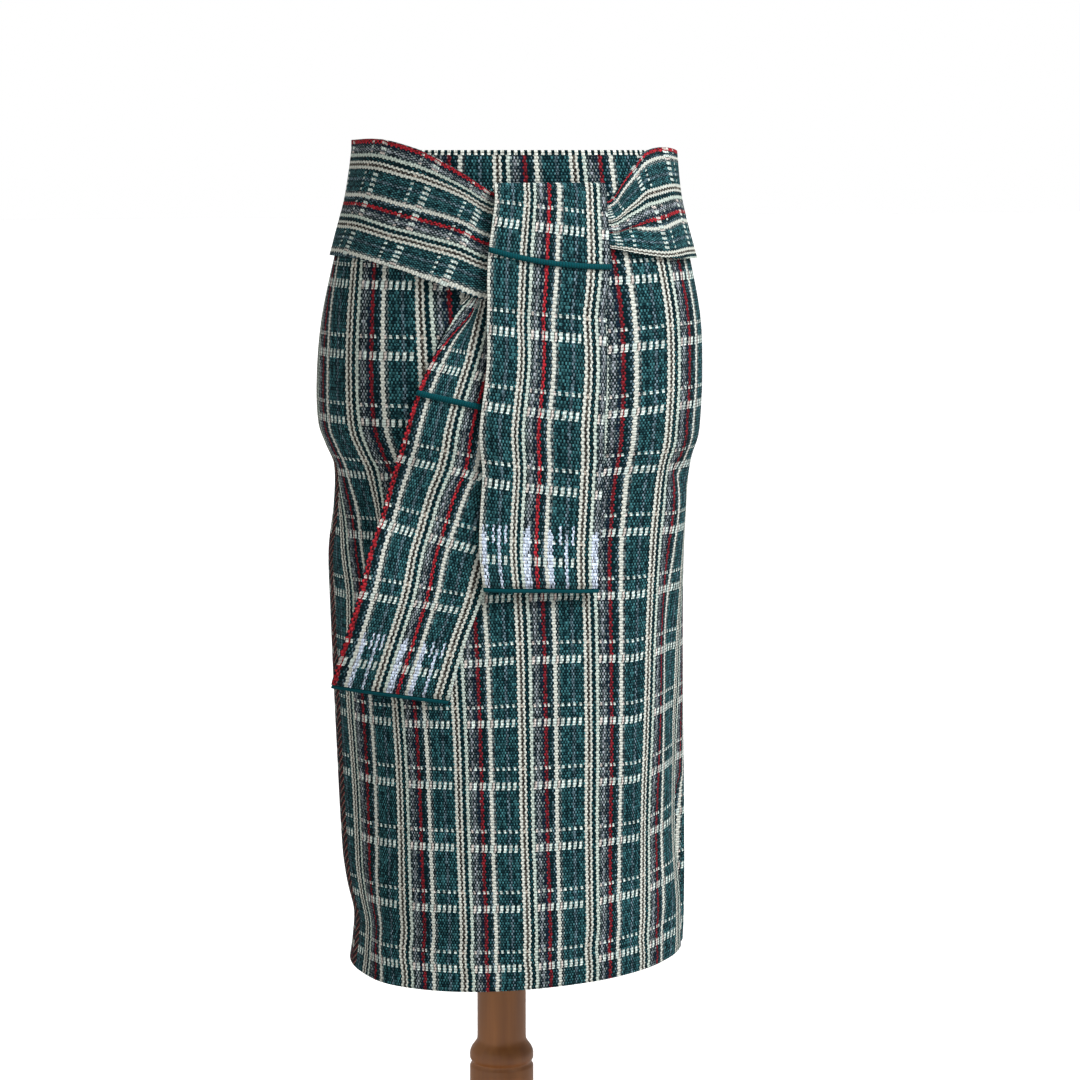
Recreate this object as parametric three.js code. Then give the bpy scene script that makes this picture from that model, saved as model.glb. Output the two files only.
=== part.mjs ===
// A checked knit pencil skirt with a tie sash, worn on a plain dress form with a turned wooden post.
// Millimetres, +Z up. The front of the skirt faces -Y, and the origin is on the floor under the post.
import * as THREE from 'three';

// Heights and sizes of the skirt
const waistHeight = 1000;
const skirtLength = 720;
const hemDip = 7; // how much lower the hem hangs at its lowest place
const hemDipAngle = -38; // where that is, from the front
const knitThickness = 1.8;
const seamGap = 0.3;
const roundness = 2.15; // exponent of the skirt's sections: 2 is an ellipse, more is squarer

// Sections of the skirt's outer face. drop is the distance below the waist edge, halfWidth and
// halfDepth are the section's half axes, forward and aside place its centre in front of the post and
// to the wearer's left, and sideSeam is the angle from the front to each side seam.
const skirtSections = [
  { drop: 0, halfWidth: 143, halfDepth: 98, forward: 33, aside: 3, sideSeam: 114 },
  { drop: 44, halfWidth: 149, halfDepth: 102, forward: 32, aside: 2, sideSeam: 117 },
  { drop: 98, halfWidth: 162.5, halfDepth: 110, forward: 28, aside: 2.5, sideSeam: 121 },
  { drop: 150, halfWidth: 173, halfDepth: 117, forward: 26, aside: 2.5, sideSeam: 123 },
  { drop: 200, halfWidth: 176, halfDepth: 121, forward: 25, aside: 1.5, sideSeam: 122 },
  { drop: 239, halfWidth: 174.5, halfDepth: 121, forward: 26, aside: 1, sideSeam: 115 },
  { drop: 257, halfWidth: 170.5, halfDepth: 118, forward: 27, aside: 3, sideSeam: 111 },
  { drop: 275, halfWidth: 164, halfDepth: 114, forward: 30, aside: 3, sideSeam: 108 },
  { drop: 310, halfWidth: 162, halfDepth: 112, forward: 31, aside: 0, sideSeam: 106 },
  { drop: 350, halfWidth: 163, halfDepth: 112.5, forward: 31, aside: -4, sideSeam: 105 },
  { drop: 400, halfWidth: 162, halfDepth: 113, forward: 31, aside: -4, sideSeam: 104 },
  { drop: 510, halfWidth: 160, halfDepth: 114, forward: 32, aside: -2, sideSeam: 104 },
  { drop: 620, halfWidth: 157.5, halfDepth: 114, forward: 35, aside: 0, sideSeam: 104 },
  { drop: 650, halfWidth: 155.5, halfDepth: 115, forward: 38, aside: 1.5, sideSeam: 104 },
  { drop: 676, halfWidth: 152.5, halfDepth: 116, forward: 40, aside: 4, sideSeam: 104 },
  { drop: 700, halfWidth: 153, halfDepth: 117, forward: 41, aside: 3, sideSeam: 104 },
  { drop: 720, halfWidth: 154, halfDepth: 117, forward: 41, aside: 1, sideSeam: 104 },
];

// Large soft folds of the hanging cloth, each a smooth hollow (depth under 0) or swell (over 0).
// angle is measured from the front towards the wearer's left; spread and reach are half sizes.
const folds = [
  { angle: -64, drop: 300, spread: 17, reach: 40, depth: -9 },
  { angle: -40, drop: 330, spread: 12, reach: 60, depth: -4 },
  { angle: 56, drop: 286, spread: 15, reach: 26, depth: -6 },
  { angle: 59, drop: 590, spread: 8, reach: 95, depth: -4.5 },
  { angle: 74, drop: 610, spread: 7, reach: 80, depth: 1.5 },
  { angle: -80, drop: 560, spread: 8, reach: 120, depth: -3.5 },
  { angle: -66, drop: 695, spread: 12, reach: 30, depth: 3 },
  { angle: 180, drop: 305, spread: 30, reach: 42, depth: -12 },
  { angle: 146, drop: 400, spread: 10, reach: 110, depth: -6 },
  { angle: -150, drop: 430, spread: 10, reach: 120, depth: -7 },
  { angle: 166, drop: 640, spread: 14, reach: 110, depth: 5 },
  { angle: -172, drop: 560, spread: 9, reach: 120, depth: -4 },
];

// Bands of rows down the skirt: the mesh is closest where the cloth turns in under the form
const rowBands = [
  { from: 0, to: 216, rows: 9 },
  { from: 216, to: 306, rows: 8 },
  { from: 306, to: 650, rows: 9 },
  { from: 650, to: skirtLength, rows: 4 },
];
const frontColumns = 34;
const backColumns = 20;

// The sash: a knitted tube folded flat
const sashThickness = 3;
const sashLift = 0.7; // gap between the skirt and the sash that lies on it
const sashLiftOverTail = 4.8; // where a stretch crosses over the side tail

// Stretches round the waist: top and bottom edges as drops below the waist edge, by angle, and
// flare, how much further the bottom edge stands off than the top
const leftStretch = [
  { angle: -114, top: -8, bottom: 92, lift: sashLift, flare: 0.5 },
  { angle: -90, top: -9, bottom: 91, lift: sashLift, flare: 1.2 },
  { angle: -68, top: -9, bottom: 93, lift: sashLift, flare: 1 },
  { angle: -50, top: -1, bottom: 101, lift: sashLift, flare: 0.6 },
  { angle: -40, top: 8, bottom: 109, lift: 1.8, flare: 0.2 },
  { angle: -30, top: 20, bottom: 117, lift: sashLiftOverTail, flare: 0 },
  { angle: -20, top: 35, bottom: 126, lift: sashLiftOverTail, flare: 0 },
  { angle: -3, top: 48, bottom: 120, lift: sashLiftOverTail, flare: 0 },
];
const rightStretch = [
  { angle: 3, top: 50, bottom: 78, lift: sashLift, flare: 0 },
  { angle: 11, top: 43, bottom: 82, lift: sashLift, flare: 0 },
  { angle: 19, top: 36, bottom: 85, lift: sashLift, flare: 0.3 },
  { angle: 25, top: 22, bottom: 88, lift: sashLift, flare: 0.6 },
  { angle: 33, top: 12, bottom: 91, lift: sashLift, flare: 1 },
  { angle: 46, top: 2, bottom: 94, lift: sashLift, flare: 1.6 },
  { angle: 61, top: -1, bottom: 95, lift: sashLift, flare: 2.8 },
  { angle: 90, top: -1, bottom: 96, lift: sashLift, flare: 2.4 },
  { angle: 114, top: 1, bottom: 98, lift: sashLift, flare: 1 },
];
const backStretch = [
  { angle: 114, top: 1, bottom: 98, lift: sashLift, flare: 1 },
  { angle: 150, top: 2, bottom: 99, lift: sashLift, flare: 0.5 },
  { angle: 180, top: 2, bottom: 99, lift: sashLift, flare: 0.5 },
  { angle: 210, top: 1, bottom: 97, lift: sashLift, flare: 0.5 },
  { angle: 228, top: -4, bottom: 94, lift: sashLift, flare: 0.5 },
  { angle: 246, top: -8, bottom: 92, lift: sashLift, flare: 0.5 },
];
// Creases that fan out of the knot across the right stretch, as raised ridges
const fanCreases = { count: 3, height: 2.2, start: 11, end: 52 };

// The front tail folds over the knot and hangs. Its rows run down the skirt's front: lift is the
// distance from the skirt to the middle of the tail, and left and right are its edges' angles.
const frontTail = [
  { drop: 40, lift: 9.8, left: -19.3, right: 17.3 },
  { drop: 34, lift: 9.9, left: -19.4, right: 17.3 },
  { drop: 29.6, lift: 11.2, left: -19.4, right: 17.3 },
  { drop: 29.4, lift: 13.6, left: -19.4, right: 17.3 },
  { drop: 33, lift: 15, left: -19.4, right: 17.3 },
  { drop: 45, lift: 15.4, left: -19.5, right: 17.1 },
  { drop: 84, lift: 15.4, left: -19.6, right: 16 },
  { drop: 108, lift: 15.4, left: -19.7, right: 14.5 },
  { drop: 126, lift: 14.8, left: -19.6, right: 13.4 },
  { drop: 145, lift: 12.6, left: -19.6, right: 12.6 },
  { drop: 185, lift: 11.4, left: -19.4, right: 11.6 },
  { drop: 255, lift: 10.2, left: -20.2, right: 11.2 },
  { drop: 315, lift: 9.6, left: -20.9, right: 12.2 },
  { drop: 371, lift: 9.4, left: -20.6, right: 12.8 },
];
// Soft waves across its width, which start under the knot
const frontTailSway = { amount: 1.3, waves: 1.5, startDrop: 110, fullDrop: 200 };

// The side tail fans out from under the left stretch and hangs flat, so that its outer edge
// stands off the skirt as the skirt turns away behind it.
const sideTail = [
  { leftDrop: 108, leftAngle: -24, leftLift: 0.2, rightDrop: 110, rightAngle: -8 },
  { leftDrop: 124, leftAngle: -26.5, leftLift: 0.4, rightDrop: 132, rightAngle: -6.5 },
  { leftDrop: 144, leftAngle: -30, leftLift: 1.2, rightDrop: 158, rightAngle: -5.5 },
  { leftDrop: 172, leftAngle: -35, leftLift: 2.6, rightDrop: 190, rightAngle: -5.5 },
  { leftDrop: 204, leftAngle: -41, leftLift: 5.6, rightDrop: 226, rightAngle: -7 },
  { leftDrop: 243, leftAngle: -44.6, leftLift: 9.5, rightDrop: 266, rightAngle: -9.5 },
  { leftDrop: 280, leftAngle: -50, leftLift: 15, rightDrop: 306, rightAngle: -13 },
  { leftDrop: 322, leftAngle: -54.8, leftLift: 22, rightDrop: 350, rightAngle: -17 },
  { leftDrop: 364, leftAngle: -58.4, leftLift: 28, rightDrop: 384, rightAngle: -20.7 },
  { leftDrop: 404, leftAngle: -62.4, leftLift: 32, rightDrop: 420, rightAngle: -26 },
  { leftDrop: 458, leftAngle: -70.4, leftLift: 31, rightDrop: 470, rightAngle: -32.2 },
];
const sideTailFlatness = 1.7; // how the stand-off grows towards the outer edge

// Knot core, welts and hems
// The knot's core lies between two stand-offs, and rounds off to edgeShare of its thickness over
// roundedShare of its length and height. Its back steps where the left stretch ends behind it.
const knotCore = {
  left: -18.6, right: 16.4, top: 44, bottom: 122, backLeft: 8.5, backRight: 4.4, front: 12.8,
  stepStart: -2, stepEnd: 6, roundedShare: 0.12, edgeShare: 0.25,
};
const welt = { width: 4.4, height: 2.2, edgeShare: 0.3 };
const frontWelt = { drop: 91, rise: 6.5, overhang: 0.3 };
const sideWelt = { row: 4 }; // the row of the side tail that it crosses
const hemRib = { height: 3.6 };

// Dress form body: it carries the skirt from just under the waist edge to its own rounded bottom
const formClearance = 0.9;
const formTopDrop = 3;
const formShoulderRound = 5;
const formSections = [
  { drop: formTopDrop, inset: formShoulderRound },
  { drop: formTopDrop + 1.5, inset: 2 },
  { drop: formTopDrop + formShoulderRound, inset: 0 },
  { drop: 44, inset: 0 },
  { drop: 98, inset: 0 },
  { drop: 150, inset: 0 },
  { drop: 185, inset: 0 },
  { drop: 216, inset: 0.3 },
  { drop: 232, inset: 1.6 },
  { drop: 245, inset: 6 },
  { drop: 255, inset: 13 },
  { drop: 262, inset: 23 },
  { drop: 265, inset: 36 },
];
const formColumns = 54;

// Stand
const baseRadius = 190;
const baseThickness = 25;
const baseEdgeRound = 5;
const poleRadius = 22.5;
const columnRadius = 29.5;
const shoulderTop = 184; // where the pole starts to swell into the column
const shoulderRound = 1.5;
const columnTop = 171;
const grooveHeight = 162;
const grooveHalfWidth = 3;
const grooveDepth = 2;
const footRadius = 40;
const footRimHeight = 9;
const footHeight = 22;

const knitMaterial = { color: 0x2c4a4c, roughness: 0.95, metalness: 0 };
const sashMaterial = { color: 0x35585a, roughness: 0.95, metalness: 0 };
const tealMaterial = { color: 0x114449, roughness: 0.9, metalness: 0 };
const linenMaterial = { color: 0xcfc4ae, roughness: 0.9, metalness: 0 };
const woodMaterial = { color: 0x7b5a3a, roughness: 0.45, metalness: 0 };

const part = new THREE.Group();

function addPiece(name, geometry, material) {
  const mesh = new THREE.Mesh(geometry, new THREE.MeshStandardMaterial(material));
  mesh.name = name;
  part.add(mesh);
}

// Smooth value of one column of a table at a place along its key column
function smoothAt(table, key, column, place) {
  const last = table.length - 1;
  const at = Math.min(Math.max(place, table[0][key]), table[last][key]);
  let i = 0;
  while (i < last - 1 && table[i + 1][key] < at) i += 1;
  const slope = (k) => {
    const a = table[Math.max(k - 1, 0)];
    const b = table[Math.min(k + 1, last)];
    return (b[column] - a[column]) / (b[key] - a[key]);
  };
  const span = table[i + 1][key] - table[i][key];
  const x = (at - table[i][key]) / span;
  const x2 = x * x;
  const x3 = x2 * x;
  return (2 * x3 - 3 * x2 + 1) * table[i][column] + (x3 - 2 * x2 + x) * span * slope(i)
    + (3 * x2 - 2 * x3) * table[i + 1][column] + (x3 - x2) * span * slope(i + 1);
}

function angleBetween(a, b) {
  return ((a - b + 540) % 360) - 180;
}

function foldAt(angle, drop) {
  let sum = 0;
  for (const fold of folds) {
    const across = angleBetween(angle, fold.angle) / fold.spread;
    const along = (drop - fold.drop) / fold.reach;
    sum += fold.depth * Math.exp(-across * across - along * along);
  }
  return sum;
}

// A point off the skirt's outer face: angle from the front, drop below the waist, lift outwards
function skirtPoint(angle, drop, lift) {
  const a = smoothAt(skirtSections, 'drop', 'halfWidth', drop);
  const b = smoothAt(skirtSections, 'drop', 'halfDepth', drop);
  const forward = smoothAt(skirtSections, 'drop', 'forward', drop);
  const aside = smoothAt(skirtSections, 'drop', 'aside', drop);
  const sine = Math.sin(THREE.MathUtils.degToRad(angle));
  const cosine = Math.cos(THREE.MathUtils.degToRad(angle));
  const power = 2 / roundness;
  const x = Math.sign(sine) * Math.abs(sine) ** power;
  const y = -Math.sign(cosine) * Math.abs(cosine) ** power;
  const out = new THREE.Vector2(
    Math.sign(sine) * Math.abs(sine) ** (2 - power) / a,
    -Math.sign(cosine) * Math.abs(cosine) ** (2 - power) / b,
  ).normalize();
  const away = lift + foldAt(angle, drop);
  return new THREE.Vector3(aside + a * x + away * out.x, -forward + b * y + away * out.y, waistHeight - drop);
}

// Closed solid between two grids of points, front facing out: grid[row][column], rows going down
// and columns going round counter-clockwise as seen from above
function wallSolid(outer, inner) {
  const rows = outer.length;
  const columns = outer[0].length;
  const points = [...outer.flat(), ...inner.flat()];
  const outerAt = (i, j) => i * columns + j;
  const innerAt = (i, j) => rows * columns + i * columns + j;
  const faces = [];
  const quad = (a, b, c, d) => faces.push(a, b, c, a, c, d);
  for (let i = 0; i < rows - 1; i += 1) {
    for (let j = 0; j < columns - 1; j += 1) {
      quad(outerAt(i, j), outerAt(i + 1, j), outerAt(i + 1, j + 1), outerAt(i, j + 1));
      quad(innerAt(i, j), innerAt(i, j + 1), innerAt(i + 1, j + 1), innerAt(i + 1, j));
    }
  }
  for (let j = 0; j < columns - 1; j += 1) {
    quad(outerAt(0, j), outerAt(0, j + 1), innerAt(0, j + 1), innerAt(0, j));
    quad(outerAt(rows - 1, j), innerAt(rows - 1, j), innerAt(rows - 1, j + 1), outerAt(rows - 1, j + 1));
  }
  for (let i = 0; i < rows - 1; i += 1) {
    quad(outerAt(i, 0), innerAt(i, 0), innerAt(i + 1, 0), outerAt(i + 1, 0));
    quad(outerAt(i, columns - 1), outerAt(i + 1, columns - 1), innerAt(i + 1, columns - 1), innerAt(i, columns - 1));
  }
  return solidFrom(points, faces);
}

// Closed solid through rings of points from the top down, each counter-clockwise from above
function ringSolid(rings) {
  const count = rings[0].length;
  const points = rings.flat();
  const centre = (ring) => ring.reduce((sum, p) => sum.add(p), new THREE.Vector3()).divideScalar(count);
  const top = points.push(centre(rings[0])) - 1;
  const bottom = points.push(centre(rings[rings.length - 1])) - 1;
  const faces = [];
  const lastRing = (rings.length - 1) * count;
  for (let j = 0; j < count; j += 1) {
    const next = (j + 1) % count;
    faces.push(top, j, next);
    faces.push(bottom, lastRing + next, lastRing + j);
    for (let i = 0; i < rings.length - 1; i += 1) {
      const a = i * count;
      const b = a + count;
      faces.push(a + j, b + j, b + next, a + j, b + next, a + next);
    }
  }
  return solidFrom(points, faces);
}

function solidFrom(points, faces) {
  const geometry = new THREE.BufferGeometry();
  geometry.setAttribute('position', new THREE.Float32BufferAttribute(points.flatMap((p) => [p.x, p.y, p.z]), 3));
  geometry.setIndex(faces);
  geometry.computeVertexNormals();
  return geometry;
}

function gridOf(rows, columns, pointAt) {
  return Array.from({ length: rows + 1 }, (_, i) => Array.from(
    { length: columns + 1 },
    (__, j) => pointAt(i / rows, j / columns),
  ));
}

const lerp = THREE.MathUtils.lerp;

// Drops of the skirt's rows, from the bands
const rowDrops = [0];
for (const band of rowBands) {
  for (let i = 1; i <= band.rows; i += 1) rowDrops.push(lerp(band.from, band.to, i / band.rows));
}

// How much lower than its row a point of the skirt hangs
function hemDipAt(angle, drop) {
  return hemDip * Math.cos(THREE.MathUtils.degToRad(angle - hemDipAngle)) * (drop / skirtLength) ** 2;
}

// A skirt panel between two seams, its edges half a seam gap from each seam
function skirtPanel(columns, startOf, endOf) {
  const face = (lift) => rowDrops.map((drop) => {
    const halfGap = THREE.MathUtils.radToDeg(seamGap / 2 / smoothAt(skirtSections, 'drop', 'halfDepth', drop));
    const start = startOf(drop) + halfGap;
    const end = endOf(drop) - halfGap;
    return Array.from({ length: columns + 1 }, (_, j) => {
      const angle = lerp(start, end, j / columns);
      return skirtPoint(angle, drop, lift).setZ(waistHeight - drop - hemDipAt(angle, drop));
    });
  });
  return wallSolid(face(0), face(-knitThickness));
}

const seamAngle = (drop) => smoothAt(skirtSections, 'drop', 'sideSeam', drop);
addPiece('skirt_front', skirtPanel(frontColumns, (d) => -seamAngle(d), seamAngle), knitMaterial);
addPiece('skirt_back', skirtPanel(backColumns, seamAngle, (d) => 360 - seamAngle(d)), knitMaterial);

// A stretch of the sash round the waist, with creases where it fans out of the knot
function sashStretch(table, columns, rows, creaseAt) {
  const first = table[0].angle;
  const last = table[table.length - 1].angle;
  const endGap = THREE.MathUtils.radToDeg(seamGap / 2 / skirtSections[0].halfDepth);
  const face = (level) => gridOf(rows, columns, (v, u) => {
    const angle = lerp(first + endGap, last - endGap, u);
    const top = smoothAt(table, 'angle', 'top', angle);
    const bottom = smoothAt(table, 'angle', 'bottom', angle);
    const flare = smoothAt(table, 'angle', 'flare', angle) * v * v;
    const lift = smoothAt(table, 'angle', 'lift', angle) + flare + creaseAt(angle, v);
    return skirtPoint(angle, lerp(top, bottom, v), lift + level);
  });
  return wallSolid(face(sashThickness), face(0));
}

function fanCrease(angle, v) {
  const along = (angle - fanCreases.start) / (fanCreases.end - fanCreases.start);
  const fade = Math.max(0, 1 - Math.abs(2 * along - 0.7));
  return fanCreases.height * fade * (1 - Math.cos(v * fanCreases.count * 2 * Math.PI)) / 2;
}

addPiece('sash_wrap_left', sashStretch(leftStretch, 18, 4, () => 0), sashMaterial);
addPiece('sash_wrap_right', sashStretch(rightStretch, 18, 12, fanCrease), sashMaterial);
addPiece('sash_wrap_back', sashStretch(backStretch, 18, 2, () => 0), sashMaterial);

// Knot core: a rounded pad of crossed sash between the stretches and the front tail
function knotSolid() {
  const { roundedShare, edgeShare, stepStart, stepEnd, backLeft, backRight, front } = knotCore;
  const rounded = (s) => Math.sqrt(1 - Math.max(0, 1 - Math.min(s, 1 - s) / roundedShare) ** 2);
  const face = (side) => gridOf(8, 10, (v, u) => {
    const angle = lerp(knotCore.left, knotCore.right, u);
    const back = lerp(backLeft, backRight, THREE.MathUtils.smoothstep(angle, stepStart, stepEnd));
    const swell = lerp(edgeShare, 1, Math.min(rounded(u), rounded(v)));
    const lift = (back + front + side * (front - back) * swell) / 2;
    return skirtPoint(angle, lerp(knotCore.top, knotCore.bottom, v), lift);
  });
  return wallSolid(face(1), face(-1));
}
addPiece('sash_knot', knotSolid(), sashMaterial);

// Front tail: the table's path is the middle of its thickness, so each row is moved half the
// thickness along the path's own normal, which turns as the tail folds over the knot
function frontTailPoint(row, across, level) {
  const at = (index, column) => frontTail[Math.min(Math.max(index, 0), frontTail.length - 1)][column];
  const alongDrop = at(row + 1, 'drop') - at(row - 1, 'drop');
  const alongLift = at(row + 1, 'lift') - at(row - 1, 'lift');
  const length = Math.hypot(alongDrop, alongLift);
  const drop = at(row, 'drop') - level * alongLift / length;
  const lift = at(row, 'lift') + level * alongDrop / length;
  const { amount, waves, startDrop, fullDrop } = frontTailSway;
  const hanging = THREE.MathUtils.smoothstep(at(row, 'drop'), startDrop, fullDrop);
  const sway = amount * hanging * Math.sin(across * waves * 2 * Math.PI);
  return skirtPoint(lerp(at(row, 'left'), at(row, 'right'), across), drop, lift + sway);
}

const tailColumns = 10;
const frontTailEnd = frontTail.length - 1;
const frontTailFace = (level) => gridOf(frontTailEnd, tailColumns, (v, u) => (
  frontTailPoint(Math.round(v * frontTailEnd), u, level)
));
const frontTailWall = wallSolid(frontTailFace(sashThickness / 2), frontTailFace(-sashThickness / 2));
addPiece('sash_tail_front', frontTailWall, sashMaterial);

// Side tail: place is 0 at its top row and 1 at its bottom row
function sideTailPoint(place, across, level) {
  const table = sideTail.map((row, index) => ({ ...row, index }));
  const index = place * (sideTail.length - 1);
  const at = (column) => smoothAt(table, 'index', column, index);
  const standOff = at('leftLift') * (1 - across) ** sideTailFlatness + sashLift;
  const drop = lerp(at('leftDrop'), at('rightDrop'), across);
  return skirtPoint(lerp(at('leftAngle'), at('rightAngle'), across), drop, standOff + level);
}
const sideTailRows = 20;
const sideTailFace = (level) => gridOf(sideTailRows, tailColumns, (v, u) => sideTailPoint(v, u, level));
addPiece('sash_tail_side', wallSolid(sideTailFace(sashThickness), sideTailFace(0)), sashMaterial);

// A raised welt across a tail: a low rounded bar. faceAt gives a point on the tail's face, moved out
function weltSolid(faceAt) {
  const face = (share) => gridOf(4, tailColumns, (v, u) => {
    const side = v * 2 - 1;
    const rounded = lerp(welt.edgeShare, 1, Math.sqrt(1 - side * side));
    return faceAt(u, side * welt.width / 2, seamGap + welt.height * rounded * share);
  });
  return wallSolid(face(1), face(0));
}

const hangingRows = frontTail.slice(4); // from where the front tail's path runs down
addPiece('sash_welt_front', weltSolid((across, along, height) => {
  const drop = frontWelt.drop + frontWelt.rise * (across - 0.5) + along;
  const at = (column) => smoothAt(hangingRows, 'drop', column, drop);
  const angle = lerp(at('left'), at('right'), across);
  const lift = at('lift');
  return skirtPoint(angle, drop, lift + sashThickness / 2 + frontWelt.overhang + height);
}), tealMaterial);

const sideTailHeight = sideTail[sideTail.length - 1].leftDrop - sideTail[0].leftDrop;
addPiece('sash_welt_side', weltSolid((across, along, height) => {
  const place = sideWelt.row / (sideTail.length - 1) + along / sideTailHeight;
  return sideTailPoint(place, across, sashThickness + height);
}), tealMaterial);

// Teal rib along the bottom edge of each tail, on from the tail's own last row: pointAt gives a
// point of the tail a number of rows above its last one
function hemRibSolid(pointAt, front, back) {
  const face = (level) => [seamGap, seamGap + hemRib.height].map((distance) => Array.from(
    { length: tailColumns + 1 },
    (_, j) => {
      const end = pointAt(0, j / tailColumns, level);
      const down = end.clone().sub(pointAt(1, j / tailColumns, level)).normalize();
      return end.addScaledVector(down, distance);
    },
  ));
  return wallSolid(face(front), face(back));
}
const frontRib = hemRibSolid(
  (above, u, level) => frontTailPoint(frontTailEnd - above, u, level),
  sashThickness / 2,
  -sashThickness / 2,
);
addPiece('sash_hem_front', frontRib, tealMaterial);
const sideRib = hemRibSolid(
  (above, u, level) => sideTailPoint(1 - above / sideTailRows, u, level),
  sashThickness,
  0,
);
addPiece('sash_hem_side', sideRib, tealMaterial);

// Dress form body, through the same sections as the skirt
const formRings = formSections.map(({ drop, inset }) => Array.from({ length: formColumns }, (_, j) => {
  const away = -knitThickness - formClearance - inset - foldAt(j * 360 / formColumns, drop);
  return skirtPoint(j * 360 / formColumns, drop, away);
}));
addPiece('form_body', ringSolid(formRings), linenMaterial);

// Turned post: pole, shoulder, grooved column and foot
const formBottom = waistHeight - formSections[formSections.length - 1].drop;
const postProfile = [
  [0, baseThickness + seamGap],
  [footRadius, baseThickness + seamGap],
  [footRadius, baseThickness + footRimHeight],
  [columnRadius, baseThickness + footHeight],
  [columnRadius, grooveHeight - grooveHalfWidth],
  [columnRadius - grooveDepth, grooveHeight],
  [columnRadius, grooveHeight + grooveHalfWidth],
  [columnRadius, columnTop],
  [(columnRadius + poleRadius) / 2, (columnTop + shoulderTop) / 2 + shoulderRound],
  [poleRadius, shoulderTop],
  [poleRadius, formBottom - seamGap],
  [0, formBottom - seamGap],
].map(([radius, height]) => new THREE.Vector2(radius, height));
const postGeometry = new THREE.LatheGeometry(postProfile, 28);
postGeometry.rotateX(Math.PI / 2);
addPiece('stand_post', postGeometry, woodMaterial);

// Round base with eased edges
const easedStep = baseEdgeRound * (1 - Math.SQRT1_2);
const baseProfile = [
  [0, 0],
  [baseRadius, 0],
  [baseRadius, baseThickness - baseEdgeRound],
  [baseRadius - easedStep, baseThickness - easedStep],
  [baseRadius - baseEdgeRound, baseThickness],
  [0, baseThickness],
].map(([radius, height]) => new THREE.Vector2(radius, height));
const baseGeometry = new THREE.LatheGeometry(baseProfile, 56);
baseGeometry.rotateX(Math.PI / 2);
addPiece('stand_base', baseGeometry, woodMaterial);

export default part;
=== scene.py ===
import math
import bpy
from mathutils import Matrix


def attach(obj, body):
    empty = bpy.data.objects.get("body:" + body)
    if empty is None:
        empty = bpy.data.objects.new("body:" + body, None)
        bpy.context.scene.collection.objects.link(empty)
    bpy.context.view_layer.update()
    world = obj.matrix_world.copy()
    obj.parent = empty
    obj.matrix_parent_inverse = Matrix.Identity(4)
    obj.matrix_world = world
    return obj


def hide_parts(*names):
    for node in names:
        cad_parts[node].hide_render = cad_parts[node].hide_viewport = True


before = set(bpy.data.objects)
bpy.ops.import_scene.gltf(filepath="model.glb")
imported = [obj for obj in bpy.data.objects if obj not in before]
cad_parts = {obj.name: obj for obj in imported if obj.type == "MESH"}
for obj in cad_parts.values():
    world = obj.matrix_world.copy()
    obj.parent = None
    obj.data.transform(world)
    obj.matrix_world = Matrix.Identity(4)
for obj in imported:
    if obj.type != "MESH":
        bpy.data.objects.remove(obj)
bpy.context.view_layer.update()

print("frame loaded")

# Camera: level with the waist, turned towards the wearer's right, looking slightly down
cameraSetup = {"azimuth": -20, "distance": 2.7, "height": 1.0, "aside": 0.03555, "pitch": 82.593, "lens": 100}


def placeCamera(setup):
    turn = math.radians(setup["azimuth"])
    data = bpy.data.cameras.new("skirtCamera")
    data.lens = setup["lens"]
    camera = bpy.data.objects.new("skirtCamera", data)
    camera.location = (
        math.sin(turn) * setup["distance"] + math.cos(turn) * setup["aside"],
        -math.cos(turn) * setup["distance"] + math.sin(turn) * setup["aside"],
        setup["height"],
    )
    camera.rotation_euler = (math.radians(setup["pitch"]), 0, turn)
    bpy.context.collection.objects.link(camera)
    bpy.context.scene.camera = camera


placeCamera(cameraSetup)


def tableOf(columns, *rows):
    return [dict(zip(columns, row)) for row in rows]


# Sizes that all the cloth shares
millimetre = 0.001
skirt = {
    "waistHeight": 1000,
    "length": 720,
    "hemDip": 7,
    "hemDipAngle": -38,
    "thickness": 1.8,
    "seamGap": 0.3,
    "sideGap": 0.06,
    "roundness": 2.15,
}
# Sections of the skirt's outer face: distance below the waist edge, half axes, centre, side seam's angle
sectionColumns = ("drop", "halfWidth", "halfDepth", "forward", "aside", "sideSeam")
skirtSections = tableOf(
    sectionColumns,
    (0, 143, 98, 33, 3, 114),
    (44, 149, 102, 32, 2, 117),
    (98, 162.5, 110, 28, 2.5, 121),
    (150, 173, 117, 26, 2.5, 123),
    (200, 176, 121, 25, 1.5, 122),
    (239, 174.5, 121, 26, 1, 115),
    (257, 170.5, 118, 27, 3, 111),
    (275, 164, 114, 30, 3, 108),
    (310, 162, 112, 31, 0, 106),
    (350, 163, 112.5, 31, -4, 105),
    (400, 162, 113, 31, -4, 104),
    (510, 160, 114, 32, -2, 104),
    (620, 157.5, 114, 35, 0, 104),
    (650, 155.5, 115, 38, 1.5, 104),
    (676, 152.5, 116, 40, 4, 104),
    (700, 153, 117, 41, 3, 104),
    (720, 154, 117, 41, 1, 104),
)
# Large soft folds of the hanging cloth, by angle from the front: half sizes and depth
folds = tableOf(
    ("angle", "drop", "spread", "reach", "depth"),
    (-64, 300, 17, 40, -9),
    (-40, 330, 12, 60, -4),
    (56, 286, 15, 26, -6),
    (59, 590, 8, 95, -4.5),
    (74, 610, 7, 80, 1.5),
    (-80, 560, 8, 120, -3.5),
    (-66, 695, 12, 30, 3),
    (180, 305, 30, 42, -12),
    (146, 400, 10, 110, -6),
    (-150, 430, 10, 120, -7),
    (166, 640, 14, 110, 5),
    (-172, 560, 9, 120, -4),
)


def mix(a, b, share):
    return a + (b - a) * share


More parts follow.
